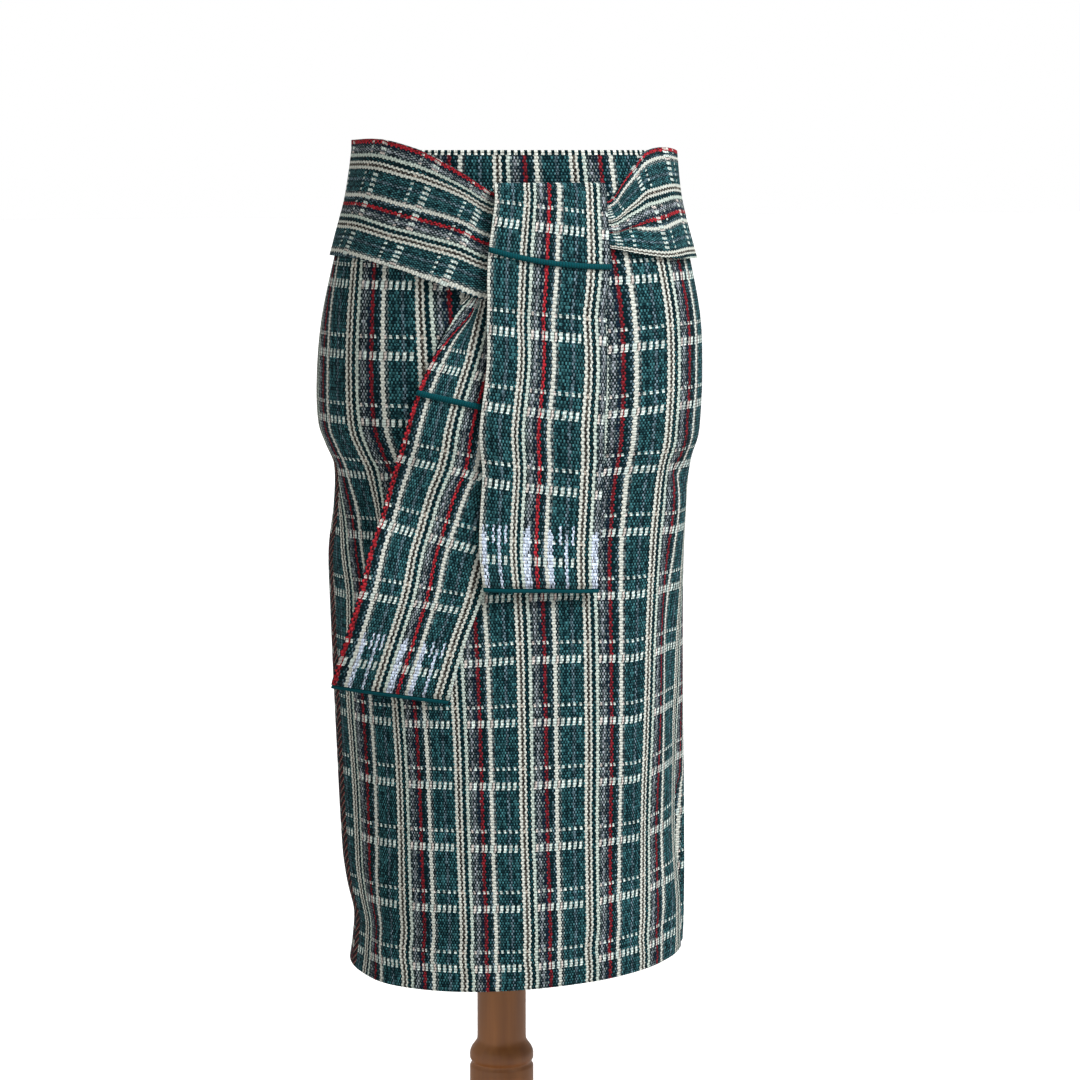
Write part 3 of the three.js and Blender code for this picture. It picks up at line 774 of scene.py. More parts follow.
# seamPlace is 0 on the panel that has the line of slanting stitches, and far off on the other
def skirtPanel(name, columns, startOf, endOf, middle, creases, needleOf, courseOf, seamPlace):
    rows = edgeSteps(panel["rows"], skirt["length"], panel["edgeSteps"])
    outer, inner, needles, courses, drops, seams = [], [], [], [], [], []
    for share in rows:
        drop = share * skirt["length"]
        halfGap = math.degrees(skirt["sideGap"] / 2 / sectionAt(drop)[1])
        start, end = startOf(drop) + halfGap, endOf(drop) - halfGap
        angles = [mix(start, end, j / columns) for j in range(columns + 1)]
        track = [skirtPoint(angle, drop, 0) for angle in angles]
        arc = [0]
        for a, b in zip(track, track[1:]):
            arc.append(arc[-1] + math.dist(a, b))
        offset = arc[min(range(len(angles)), key=lambda k: abs(angles[k] - middle))]
        across = [value - offset for value in arc]
        thick = edgeRound(min(drop, skirt["length"] - drop), panel["edgeRadius"], panel["leastEdge"])
        half = skirt["thickness"] / 2
        outerLine, innerLine, courseLine = [], [], []
        for angle, s in zip(angles, across):
            relief = creaseAt(creases, s, drop) * smoothStep(drop, panel["creaseFrom"], panel["creaseFull"])
            dip = hemDipAt(angle, drop)
            for line, side in ((outerLine, 1), (innerLine, -1)):
                x, y, z = skirtPoint(angle, drop, relief - half + side * half * thick)
                line.append((x, y, z - dip))
            courseLine.append(courseOf(s, drop + dip))
        outer.append(outerLine)
        inner.append(innerLine)
        needles.append([needleOf(s, drop) for s in across])
        courses.append(courseLine)
        drops.append(drop)
        seams.append([min(value, arc[-1] - value) + seamPlace for value in arc])
    piece = wallPiece(
        name, outer, inner,
        lambda i, j: (needles[i][j], courses[i][j]),
        lambda i, j: (seams[i][j], drops[i] / panel["courseHeight"]),
        skirtKnit,
    )
    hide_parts({"skirtFront": "skirt_front", "skirtBack": "skirt_back"}[name])
    return piece


def seamAngle(drop):
    return sectionAt(drop)[4]


skirtFront = skirtPanel(
    "skirtFront", panel["frontColumns"], lambda drop: -seamAngle(drop), seamAngle, 0,
    frontCreases, frontNeedle, frontCourse, 0,
)
print("skirt front made")

# Stripes of the back: its middle needle, and millimetres a needle above and below the hip
backStripes = {"middle": 5, "above": 2.9, "below": 2.6, "hipFrom": 240, "hipTo": 330}


def backNeedle(across, drop):
    hip = smoothStep(drop, backStripes["hipFrom"], backStripes["hipTo"])
    return backStripes["middle"] + across / mix(backStripes["above"], backStripes["below"], hip)


skirtBack = skirtPanel(
    "skirtBack", panel["backColumns"], seamAngle, lambda drop: 360 - seamAngle(drop), 180,
    backCreases, backNeedle, backCourse, farOff,
)
print("skirt back made")

# Sash
sash = {
    "width": 101, "thickness": 3, "wall": 1.25, "wallShare": 0.98, "lift": 0.7, "course": 2.95,
    "backJoin": 180, "joinHalf": 0.02,
}
# Edges of each stretch by angle: drop of its top and bottom edge, lift off the skirt, and how far its
# bottom edge flares out
stretchColumns = ("angle", "top", "bottom", "lift", "flare")
leftStretch = tableOf(
    stretchColumns,
    (-114, -8, 92, 0.7, 0.5), (-90, -9, 91, 0.7, 1.2), (-68, -9, 93, 0.7, 1), (-50, -1, 101, 0.7, 0.6),
    (-40, 8, 109, 1.8, 0.2), (-30, 20, 117, 4.8, 0), (-20, 35, 126, 4.8, 0), (-3, 48, 120, 4.8, 0),
)
rightStretch = tableOf(
    stretchColumns,
    (3, 50, 78, 0.7, 0), (11, 46, 82, 0.7, 0), (19, 42, 85, 0.7, 0.3), (25, 25.5, 88, 0.7, 0.6),
    (30, 14.5, 90, 0.7, 0.8), (35, 4, 91.5, 0.7, 1.1), (40, -0.3, 93, 0.7, 1.35), (46, -2.2, 94, 0.7, 1.6),
    (52, -2.4, 94.6, 0.7, 2.1), (61, -1, 95, 0.7, 2.8), (75, 1, 95.5, 0.7, 2.7), (90, 0, 96, 0.7, 2.4),
    (114, 1, 98, 0.7, 1),
)
backStretch = tableOf(
    stretchColumns,
    (114, 1, 98, 0.7, 1), (150, 2, 99, 0.7, 0.5), (180, 2, 99, 0.7, 0.5), (210, 1, 97, 0.7, 0.5),
    (228, -4, 94, 0.7, 0.5), (246, -8, 92, 0.7, 0.5),
)


# Steps across a folded tube, close together at its folds
def foldSteps(count):
    return [0, 0.006, 0.018] + [k / count for k in range(1, count)] + [0.982, 0.994, 1]


# A knitted tube folded flat: faceAt(along, across, level, inset) gives its points, level -1 at the back
# and 1 at the front. It has a wall of its own and is open at both cut ends.
def tubePiece(name, alongSteps, acrossSteps, faceAt, needleAt, courseAt, aboveEndAt, nodes):
    foldLevels = (0.7, 0, -0.7)
    ring = [(across, 1) for across in acrossSteps] + [(1, level) for level in foldLevels]
    ring += [(across, -1) for across in reversed(acrossSteps)] + [(0, level) for level in reversed(foldLevels)]
    count, half = len(ring), len(acrossSteps) + 1
    inner = 1 - sash["wall"] / sash["thickness"] * sash["wallShare"]
    points, faces, knitValues, edgeValues = [], [], [], []
    for layer in (1, inner):
        inset = (1 - layer) * sash["thickness"] / 2
        for along in alongSteps:
            points += [faceAt(along, across, level * layer, inset) for across, level in ring]

    # the needles count on round the second fold, on the back
    def needleOf(along, index):
        across = ring[index % count][0]
        if index < half:
            return needleAt(along, across)
        low, high = needleAt(along, 0), needleAt(along, 1)
        return low + 2 * (high - low) if index == count else 2 * high - needleAt(along, across)

    rows = len(alongSteps)
    for layer in (0, 1):
        base = layer * rows * count
        for i in range(rows - 1):
            for j in range(count):
                corner = [(i, j), (i + 1, j), (i + 1, j + 1), (i, j + 1)]
                if layer:
                    corner.reverse()
                faces.append([base + a * count + b % count for a, b in corner])
                for a, b in corner:
                    across = ring[b % count][0]
                    knitValues.append((needleOf(alongSteps[a], b), courseAt(alongSteps[a], across)))
                    edgeValues.append((aboveEndAt(alongSteps[a], across), farOff))
    for i, flip in ((0, False), (rows - 1, True)):
        for j in range(count):
            k = (j + 1) % count
            face = [i * count + j, i * count + k, rows * count + i * count + k, rows * count + i * count + j]
            faces.append(face[::-1] if flip else face)
            for _ in range(4):
                knitValues.append((needleOf(alongSteps[i], j), courseAt(alongSteps[i], 0)))
                edgeValues.append((farOff, farOff))
    piece = makeMesh(name, points, faces, {"knit": knitValues, "edges": edgeValues}, sashKnit)
    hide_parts(*nodes)
    return piece


# Share across a tube, kept in from both folds
def insetShare(across, inset, width):
    pad = inset / width
    return mix(pad, 1 - pad, across)


# A stretch of the sash round the waist: angles along it, shares of its height across it from the top
def stretchPiece(name, table, columns, rows, needles, courseOf, reliefAt, nodes):
    first, last = table[0]["angle"], table[-1]["angle"]
    endGap = math.degrees(skirt["seamGap"] / 2 / skirtSections[0]["halfDepth"])
    alongSteps = [mix(first + endGap, last - endGap, k / columns) for k in range(columns + 1)]
    join, half = sash["backJoin"], sash["joinHalf"]
    if first < join < last:   # the pattern breaks sharply where the sash's two lengths join
        alongSteps = sorted(set(alongSteps) - {join} | {join - half, join + half})

    def edges(angle):
        return smoothAt(table, "angle", "top", angle), smoothAt(table, "angle", "bottom", angle)

    def faceAt(angle, across, level, inset):
        top, bottom = edges(angle)
        share = insetShare(across, inset, bottom - top)
        lift = smoothAt(table, "angle", "lift", angle) + smoothAt(table, "angle", "flare", angle) * share * share
        lift += reliefAt(angle, share)
        return skirtPoint(angle, mix(top, bottom, share), lift + sash["thickness"] / 2 * (1 + level))

    def courseAt(angle, across):
        top, bottom = edges(angle)
        return courseOf(angle, mix(top, bottom, across))

    return tubePiece(
        name, alongSteps, foldSteps(rows), faceAt, needles, courseAt, lambda along, across: farOff, nodes
    )


leftCourses = tableOf(
    ("angle", "course"),
    (-130, -44), (-114, -31), (-74.5, 1.6), (-46.5, 23.6), (-24.5, 45.6), (-3, 68), (10, 80),
)
rightCourses = tableOf(
    ("angle", "course"),
    (-10, 72), (3, 60), (17.5, 45.6), (39.5, 23.6), (59.5, 1.6), (90, -29.4), (114, -52), (130, -66),
)
rightLean = tableOf(
    ("drop", "lean"), (0, -12), (20, -9), (36, -5.3), (52, 0), (68, 1.6), (84, 2.5), (100, 3),
)


def leftCourse(angle, drop):
    return smoothAt(leftCourses, "angle", "course", angle + 0.15 * (drop - 52))


def rightCourse(angle, drop):
    lean = straightAt(rightLean, "drop", "lean", drop) * mix(1, 0.5, smoothStep(angle, 42, 58))
    return smoothAt(rightCourses, "angle", "course", angle - lean)


backRun = {"join": -106, "perDegree": 0.82}


def backStretchCourse(angle, drop):
    return backRun["join"] + backRun["perDegree"] * abs(angle - sash["backJoin"])


# The left stretch: shallow gathers where it goes in under the front tail, soft waves elsewhere
leftGathers = tableOf(("share", "shift", "spread", "depth"), (0.17, 0.05, 0.06, -1.1), (0.5, 0, 0.07, -0.8))
leftWave = {"height": 0.35, "perShare": 9, "perDegree": 0.05}


def leftRelief(angle, share):
    near = smoothStep(angle, -48, -22)
    gather = 0
    for fold in leftGathers:
        gather += fold["depth"] * bell(share, fold["share"] + fold["shift"] * near, fold["spread"])
    wave = leftWave["height"] * math.sin(share * leftWave["perShare"] + angle * leftWave["perDegree"])
    return near * gather + max(0, wave) * (1 - near)


# The right stretch: pleats fan out of the knot, and one laps over the next
pleats = tableOf(
    ("share", "spread", "height", "to"),
    (0.16, 0.07, 2.0, 48), (0.4, 0.07, 2.4, 50), (0.83, 0.08, 2.0, 44),
)
lap = {"height": 2.6, "from": 26, "to": 42, "rise": (0.42, 0.6), "fall": (0.64, 0.675)}


def rightRelief(angle, share):
    total = 0
    for pleat in pleats:
        fade = 1 - smoothStep(angle, 20, pleat["to"])
        total += pleat["height"] * fade * bell(share, pleat["share"], pleat["spread"])
    height = (1 - smoothStep(angle, lap["from"], lap["to"])) * lap["height"]
    return total + height * smoothStep(share, *lap["rise"]) * (1 - smoothStep(share, *lap["fall"]))


# Needles by share of the height from the top edge, at three places along each stretch
needleColumns = ("share", "near", "middle", "far")
leftNeedleRows = tableOf(
    needleColumns,
    (0, 54.6, 54.65, 54.65), (0.04, 53.3, 53.3, 53.3), (0.12, 48.6, 49.8, 49.6), (0.25, 42.5, 45.1, 44.6),
    (0.41, 34.75, 38.2, 37.6), (0.49, 31.5, 34.6, 34.2), (0.57, 28.2, 31.5, 30.6), (0.65, 25, 28.2, 26.5),
    (0.75, 21, 23.8, 22.5), (0.86, 16.4, 19, 17.2), (0.96, 12.3, 13.4, 11.9), (1, 11.4, 11.7, 10.8),
)
rightNeedleRows = tableOf(
    needleColumns,
    (0, 8.3, 8.3, 8.4), (0.04, 9.7, 9.7, 9.8), (0.08, 11.5, 11.8, 12.5), (0.35, 21, 21.8, 23.2),
    (0.39, 22.5, 23.3, 24.7), (0.49, 26.5, 26.4, 28.4), (0.57, 28.6, 29, 31.5), (0.65, 31.2, 31.7, 34.75),
    (0.66, 31.5, 32, 35.2), (0.68, 37, 32.8, 36), (0.73, 38.4, 34.75, 38), (0.91, 43.8, 43, 45),
    (0.955, 45.5, 45, 47), (1, 47.4, 47.2, 49.3),
)


def needlesAt(rows, across):
    return (straightAt(rows, "share", column, across) for column in needleColumns[1:])


def leftNeedles(angle, across):
    near, middle, far = needlesAt(leftNeedleRows, across)
    return mix(mix(far, middle, smoothStep(angle, -84, -58)), near, smoothStep(angle, -56, -24))


def rightNeedles(angle, across):
    near, middle, far = needlesAt(rightNeedleRows, across)
    return mix(mix(near, middle, smoothStep(angle, 22, 36)), far, smoothStep(angle, 37, 60))


def backNeedles(angle, across):
    return mix(9.4, 49.3, across) if angle < sash["backJoin"] else mix(54.8, 10.8, across)


sashLeft = stretchPiece(
    "sashLeft", leftStretch, 80, 26, leftNeedles, leftCourse, leftRelief, ["sash_wrap_left"]
)
sashRight = stretchPiece(
    "sashRight", rightStretch, 90, 44, rightNeedles, rightCourse, rightRelief, ["sash_wrap_right"]
)
sashBack = stretchPiece(
    "sashBack", backStretch, 60, 20, backNeedles, backStretchCourse, lambda angle, share: 0, ["sash_wrap_back"]
)
print("sash stretches made")

# A table whose rows also say their own number
def numbered(table):
    return [dict(row, row=number) for number, row in enumerate(table)]


# How far along the middle of a tail each step is
def arcLengths(steps, pointAt):
    lengths = {steps[0]: 0.0}
    for a, b in zip(steps, steps[1:]):
        lengths[b] = lengths[a] + math.dist(pointAt(a), pointAt(b))
    return lengths


# Front tail: folds over the knot and hangs; the path is the middle of its thickness
frontTailColumns = ("drop", "lift", "left", "right")
frontTail = numbered(tableOf(
    frontTailColumns,
    (40, 9.8, -19.3, 14.2), (34, 9.9, -19.6, 14.2), (29.6, 11.2, -19.8, 14.3), (29.4, 13.6, -19.8, 14.4),
    (33, 15, -19.8, 14.5), (45, 15.4, -19.6, 14.3), (84, 15.4, -20.6, 13.8), (108, 15.4, -20.6, 12.9),
    (126, 14.8, -20.3, 11.8), (145, 12.6, -20.1, 11.1), (185, 11.4, -19.9, 11.5), (255, 10.2, -22.4, 11),
    (315, 9.6, -22.6, 12.1), (371, 9.4, -20.3, 12.8),
))
# Its soft waves across, how far its end slants, and where it comes out from over the knot
frontHang = {
    "sway": 1.3, "waves": 1.5, "swayFrom": 110, "swayFull": 200, "slant": 5.5, "slantFrom": 300, "slantFull": 371,
    "slantCourses": 1.9, "knotRow": 4, "knotDrop": 29.5,
}
frontTailEnd = len(frontTail) - 1


def frontTailCentre(row, across):
    at = rowAt(frontTail, "row", frontTailColumns, row)
    hanging = smoothStep(at["drop"], frontHang["swayFrom"], frontHang["swayFull"])
    sway = frontHang["sway"] * hanging * math.sin(across * frontHang["waves"] * 2 * math.pi)
    slant = frontHang["slant"] * across * smoothStep(at["drop"], frontHang["slantFrom"], frontHang["slantFull"])
    return mix(at["left"], at["right"], across), at["drop"] + slant, at["lift"] + sway


def frontTailPoint(row, across, offset):
    step = 0.05
    _, dropA, liftA = frontTailCentre(max(row - step, 0), across)
    _, dropB, liftB = frontTailCentre(min(row + step, frontTailEnd), across)
    length = math.hypot(dropB - dropA, liftB - liftA)
    angle, drop, lift = frontTailCentre(row, across)
    return skirtPoint(angle, drop - offset * (liftB - liftA) / length, lift + offset * (dropB - dropA) / length)


# Steps down it, closer together where it hangs
frontTailSteps = [k * 0.25 for k in range(24)] + [6 + k * 0.125 for k in range(56)] + [frontTailEnd]
frontWelt = {"drop": 83, "sag": 16, "bend": 1.9}


def frontWeltDrop(across):
    return frontWelt["drop"] + frontWelt["sag"] * (1 - (1 - min(max(across, 0), 1)) ** frontWelt["bend"])


frontArc = arcLengths(frontTailSteps, lambda row: frontTailPoint(row, 0.5, 0))
frontNeedleRows = tableOf(
    ("share", "needle"),
    (0, 12), (0.275, 22.5), (0.36, 26.5), (0.485, 31.5), (0.56, 34.75), (0.805, 45), (0.91, 49), (1, 52.6),
)
# Middles of the dashed rows by drop at the left and right edge, over the welt and under it
frontTailRows = tableOf(
    ("left", "right", "course"),
    (-5, 6, 110.6), (59, 72, 133.6), (84.9, 97, 133.6), (150.2, 162.1, 155.6), (214.4, 229.6, 177.6),
    (280, 295.5, 199.6), (345.5, 354.5, 221.6), (372, 381, 230.6),
)


def frontAboveEnd(row, across):
    return (frontArc[frontTailEnd] - frontArc[row]) / sash["course"] + frontHang["slantCourses"] * across


# The pattern breaks under the welt
def frontTailCourse(row, across):
    drop = frontTailCentre(row, across)[1]
    if row < frontHang["knotRow"]:   # over the knot and behind it
        drop = frontHang["knotDrop"] - (frontArc[frontHang["knotRow"]] - frontArc[row])
    places = [
        {"drop": mix(line["left"], line["right"], across), "course": line["course"]}
        for line in (frontTailRows[:2] if drop < frontWeltDrop(across) else frontTailRows[2:])
    ]
    if drop < places[0]["drop"]:
        return places[0]["course"] + (drop - places[0]["drop"]) / sash["course"]
    if drop > places[-1]["drop"]:
        return places[-1]["course"] + (drop - places[-1]["drop"]) / sash["course"]
    return straightAt(places, "drop", "course", drop)


def frontTailFace(row, across, level, inset):
    return frontTailPoint(row, insetShare(across, inset, sash["width"]), level * sash["thickness"] / 2)


def frontTailNeedle(row, across):
    return straightAt(frontNeedleRows, "share", "needle", across)


tailFront = tubePiece(
    "tailFront", frontTailSteps, foldSteps(34), frontTailFace, frontTailNeedle,
    frontTailCourse, frontAboveEnd, ["sash_tail_front"],
)
print("front tail made")

# Side tail: fans out from under the left stretch, its outer edge standing off
sideTailColumns = ("leftDrop", "leftAngle", "leftLift", "rightDrop", "rightAngle")
sideTail = numbered(tableOf(
    sideTailColumns,
    (108, -24, 0.2, 110, -8), (124, -26.5, 0.4, 132, -6.5), (144, -30, 1.2, 158, -5.5), (172, -35, 2.6, 190, -5.5),
    (204, -39.9, 5.6, 226, -7), (243, -44.8, 9.5, 266, -9.5), (280, -52.8, 15, 306, -13), (322, -55.8, 22, 350, -17),
    (364, -57.2, 28, 384, -20.7), (404, -61.4, 32, 420, -26), (458, -70.2, 31, 470, -32.2),
))
sideTailEnd = len(sideTail) - 1
# How fast it comes to lie flat, the welt's row, and millimetres for a course and for a row
sideHang = {"flatness": 1.7, "weltRow": 4, "course": 2.73, "rowLength": 35}


def sideTailPoint(row, across, level):
    at = rowAt(sideTail, "row", sideTailColumns, row)
    angle = mix(at["leftAngle"], at["rightAngle"], across)
    drop = mix(at["leftDrop"], at["rightDrop"], across)
    standOff = at["leftLift"] * (1 - across) ** sideHang["flatness"] + sash["lift"]
    return skirtPoint(angle, drop, standOff + level)


sideTailSteps = [k * 0.125 for k in range(8 * sideTailEnd + 1)]
sideArc = arcLengths(sideTailSteps, lambda row: sideTailPoint(row, 0.3, 0))


def sideAboveEnd(row, across):
    return (sideArc[sideTailEnd] - sideArc[row]) / sideHang["course"]


# Middles of the dashed rows by row of the table, over the welt and under it
sideTailRows = tableOf(
    ("row", "course"),
    (0, 103.2), (1.5, 113.8), (2.8, 127.8), (3.3, 133.6), (4, 142.8), (4, 134), (5.47, 155.6), (6.85, 177.6),
    (8.32, 199.6), (9.6, 221.6), (10, 230.2),
)
# Needle at the left edge, and where across the tail the red and the cream and pale stripes run
sideNeedleColumns = ("row", "edge", "red", "line", "cream", "pale")
sideNeedleRows = tableOf(
    sideNeedleColumns,
    (0, -1.6, 0.2, 0.207, 0.23, 0.36), (1, -0.4, 0.2, 0.209, 0.235, 0.38), (1.4, 2.4, 0.19, 0.202, 0.24, 0.39),
    (1.8, 3.5, 0.17, 0.19, 0.25, 0.41), (2.3, 3.9, 0.09, 0.14, 0.28, 0.42), (2.65, 6.2, 0.05, 0.12, 0.3, 0.43),
    (3, 8.2, 0.026, 0.115, 0.32, 0.43), (4, 8.3, 0.026, 0.115, 0.33, 0.43), (10, 8.3, 0.026, 0.115, 0.33, 0.43),
)


def sideTailCourse(row, across):
    return straightAt(sideTailRows[:5] if row < sideHang["weltRow"] else sideTailRows[5:], "row", "course", row)


def sideNeedle(row, across):
    at = rowAt(sideNeedleRows, "row", sideNeedleColumns[1:], row, straightAt)
    stripes = [
        {"share": share, "needle": needle}
        for share, needle in (
            (0, at["edge"]), (at["red"], 9), (at["line"], 12.35), (at["cream"], 22.5), (at["pale"], 26.5),
            (0.54, 31.5), (0.615, 34.75), (0.87, 45), (1, 49.6),
        )
    ]
    return straightAt(stripes, "share", "needle", across)


def sideTailFace(row, across, level, inset):
    return sideTailPoint(row, insetShare(across, inset, sash["width"]), sash["thickness"] / 2 * (1 + level))


tailSide = tubePiece(
    "tailSide", sideTailSteps, foldSteps(34), sideTailFace, sideNeedle,
    sideTailCourse, sideAboveEnd, ["sash_tail_side"],
)
print("side tail made")

# Knot core behind the front tail
knotCore = {
    "left": -18.4, "right": 13.4, "top": 44, "bottom": 122, "backLeft": 8.5, "backRight": 4.4, "front": 12.8,
    "stepStart": -2, "stepEnd": 6, "roundedShare": 0.12, "edgeShare": 0.12, "columns": 60, "rows": 50,
    "waveDepth": 0.12, "waveDown": 15, "waveAcross": 4, "needles": (8, 48), "courses": 32,
}


def knotPiece(core):
    def steps(count):
        middle = [mix(0.045, 0.955, k / count) for k in range(1, count)]
        return [0, 0.006, 0.02, 0.045] + middle + [0.955, 0.98, 0.994, 1]

    us, vs = steps(core["columns"]), steps(core["rows"])

    def rounded(share):
        return math.sqrt(1 - max(0, 1 - min(share, 1 - share) / core["roundedShare"]) ** 2)

    def face(side):
        lines = []
        for v in vs:
            line = []
            for u in us:
                angle = mix(core["left"], core["right"], u)
                back = mix(core["backLeft"], core["backRight"], smoothStep(angle, core["stepStart"], core["stepEnd"]))
                swell = mix(core["edgeShare"], 1, min(rounded(u), rounded(v)))
                wave = math.sin(v * core["waveDown"] + u * core["waveAcross"])
                swell *= 1 - core["waveDepth"] * (0.5 + 0.5 * wave)
                lift = (back + core["front"] + side * (core["front"] - back) * swell) / 2
                line.append(skirtPoint(angle, mix(core["top"], core["bottom"], v), lift))
            lines.append(line)
        return lines

    piece = wallPiece(
        "knotCore", face(1), face(-1),
        lambda i, j: (mix(*core["needles"], vs[i]), us[j] * core["courses"]), noEdges, sashKnit,
    )
    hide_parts("sash_knot")
    return piece


knot = knotPiece(knotCore)

# Welts across the tails and ribs along their ends
welt = {
    "width": 4.8, "height": 2.2, "leastHeight": 0.12, "overhang": 0.3, "steps": 12, "columns": 60,
    "needle": 0.35, "course": 0.8,
}
rib = {"height": 3.6, "steps": 8, "edgeRadius": 1.2, "leastEdge": 0.3, "needle": 0.8, "course": 0.5, "rowStep": 0.25}


def barPiece(name, faceAt, node):
    outer, inner = [], []
    for i in range(welt["steps"] + 1):
        side = math.sin((i / welt["steps"] - 0.5) * math.pi)
        height = welt["height"] * mix(welt["leastHeight"], 1, math.sqrt(max(0, 1 - side * side)))
        columns = [j / welt["columns"] for j in range(welt["columns"] + 1)]
        outer.append([faceAt(u, side * welt["width"] / 2, skirt["seamGap"] + height) for u in columns])
        inner.append([faceAt(u, side * welt["width"] / 2, skirt["seamGap"]) for u in columns])
    piece = wallPiece(
        name, outer, inner, lambda i, j: (i * welt["needle"], j * welt["course"]), noEdges, tealRib
    )
    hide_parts(node)
    return piece


hangingRows = frontTail[frontHang["knotRow"]:]


def frontWeltPoint(across, along, height):
    drop = frontWeltDrop(across) + along
    at = rowAt(hangingRows, "drop", ("lift", "left", "right"), drop)
    angle = mix(at["left"], at["right"], across)
    return skirtPoint(angle, drop, at["lift"] + sash["thickness"] / 2 + welt["overhang"] + height)


def sideWeltPoint(across, along, height):
    return sideTailPoint(sideHang["weltRow"] + along / sideHang["rowLength"], across, sash["thickness"] + height)


weltFront = barPiece("weltFront", frontWeltPoint, "sash_welt_front")
weltSide = barPiece("weltSide", sideWeltPoint, "sash_welt_side")


# A rib that goes on from the end of a tail; pointAt(above, across, level) is a point rows above the end
def ribPiece(name, pointAt, front, back, node):
    columns = [0, 0.004, 0.012] + [j / 50 for j in range(1, 50)] + [0.988, 0.996, 1]

    def face(side):
        lines = []
        for i in range(rib["steps"] + 1):
            down = rib["height"] * i / rib["steps"]
            middle, half = (front + back) / 2, (front - back) / 2
            thick = edgeRound(min(down, rib["height"] - down), rib["edgeRadius"], rib["leastEdge"])
            line = []
            for u in columns:
                fold = edgeRound(min(u, 1 - u) * sash["width"], rib["edgeRadius"], rib["leastEdge"])
                level = middle + side * half * min(thick, fold)
                end, above = pointAt(0, u, level), pointAt(rib["rowStep"], u, level)
                reach = (skirt["seamGap"] + down) / math.dist(end, above)
                line.append(tuple(e + (e - a) * reach for e, a in zip(end, above)))
            lines.append(line)
        return lines

    piece = wallPiece(
        name, face(1), face(-1), lambda i, j: (j * rib["needle"], i * rib["course"]), noEdges, tealRib
    )
    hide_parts(node)
    return piece


ribFront = ribPiece(
    "ribFront", lambda above, u, level: frontTailPoint(frontTailEnd - above, u, level),
    sash["thickness"] / 2, -sash["thickness"] / 2, "sash_hem_front",
)
ribSide = ribPiece(
    "ribSide", lambda above, u, level: sideTailPoint(sideTailEnd - above, u, level),
    sash["thickness"], 0, "sash_hem_side",
)
print("knot, welts and ribs made")

# Dress form
form = {
    "clearance": 1.2, "columns": 160, "flatRings": (0.85, 0.6, 0.3),
    "thread": 0.8, "leanAcross": 0.6, "leanDown": 0.9, "slub": 9.0,
    "dark": linear(178, 164, 138), "pale": linear(222, 212, 190), "bump": 0.4, "depth": 0.0003, "roughness": 0.9,
}
formSections = tableOf(
    ("drop", "inset"),
    (3, 5), (3.5, 3.6), (4.5, 2), (6, 0.7), (8, 0), (44, 0), (98, 0), (150, 0), (185, 0), (216, 0.3), (232, 1.6),
    (245, 6), (255, 13), (262, 23), (265, 36),
)


def weaveGroup():
    tree, sheet, given, result = makeGroup("linenWeave", {"Across": 0.0, "Down": 0.0}, ("Color", "Height"))
    across = sheet.math("SINE", sheet.times(given["Across"], math.pi))
    down = sheet.math("SINE", sheet.times(given["Down"], math.pi))
    height = sheet.math("MULTIPLY_ADD", sheet.times(across, down), 0.5, 0.5)
    slubRow = sheet.floor(sheet.math("DIVIDE", given["Down"], form["slub"]))
    slubs = sheet.random(sheet.floor(given["Across"]), slubRow)
    # Slubs make the tone differ at random, and painted shade darkens the weave where its threads sit low
    share = sheet.plus(sheet.times(slubs, 0.5), sheet.times(height, 0.5))
    sheet.put(result["Color"], sheet.blend(share, form["dark"], form["pale"]))
    sheet.put(result["Height"], height)
    return tree


def linenMaterial():
    material, sheet, shader = newMaterial("formLinen")
    parts = sheet.mapParts("knit")
    weave = placeGroup(sheet, weaveGroup(), {"Across": parts[0], "Down": parts[1]})
    sheet.put(shader.inputs["Base Color"], weave["Color"])
    addRelief(sheet, shader, weave["Height"], form)
    shader.inputs["Roughness"].default_value = form["roughness"]
    return material


def formPiece():
    drops = []
    for a, b in zip(formSections, formSections[1:]):
        steps = 8 if b["drop"] - a["drop"] > 20 else 3
        drops += [mix(a["drop"], b["drop"], k / steps) for k in range(steps)]
    drops.append(formSections[-1]["drop"])
    count = form["columns"]
    angles = [j * 360 / count for j in range(count)]

    def ringAt(drop):
        inward = -skirt["thickness"] - form["clearance"] - smoothAt(formSections, "drop", "inset", drop)
        return [skirtPoint(angle, drop, inward - foldAt(angle, drop)) for angle in angles]

    def centre(ring):
        return tuple(sum(point[k] for point in ring) / count for k in range(3))

    def smaller(ring, middle, share):
        return [(mix(middle[0], x, share), mix(middle[1], y, share), z) for x, y, z in ring]

    rings = [ringAt(drop) for drop in drops]
    middles = (centre(rings[0]), centre(rings[-1]))
    for share in form["flatRings"]:   # rings across the flat top and bottom
        rings.insert(0, smaller(rings[0], middles[0], share))
        rings.append(smaller(rings[-1], middles[1], share))
    points = [point for ring in rings for point in ring] + list(middles)
    faces, values = [], []
    last = (len(rings) - 1) * count
    for i in range(len(rings) - 1):
        for j in range(count):
            k = (j + 1) % count
            faces.append([i * count + j, (i + 1) * count + j, (i + 1) * count + k, i * count + k])
    for j in range(count):
        k = (j + 1) % count
        faces.append([len(points) - 2, j, k])
        faces.append([len(points) - 1, last + k, last + j])
    for face in faces:
        for index in face:
            x, y, z = points[index]
            across, down = x + form["leanAcross"] * y, z - form["leanDown"] * y
            values.append((across / form["thread"], down / form["thread"]))
    piece = makeMesh("formBody", points, faces, {"knit": values}, linenMaterial())
    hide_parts("form_body")
    return piece


formPiece()
print("form made")

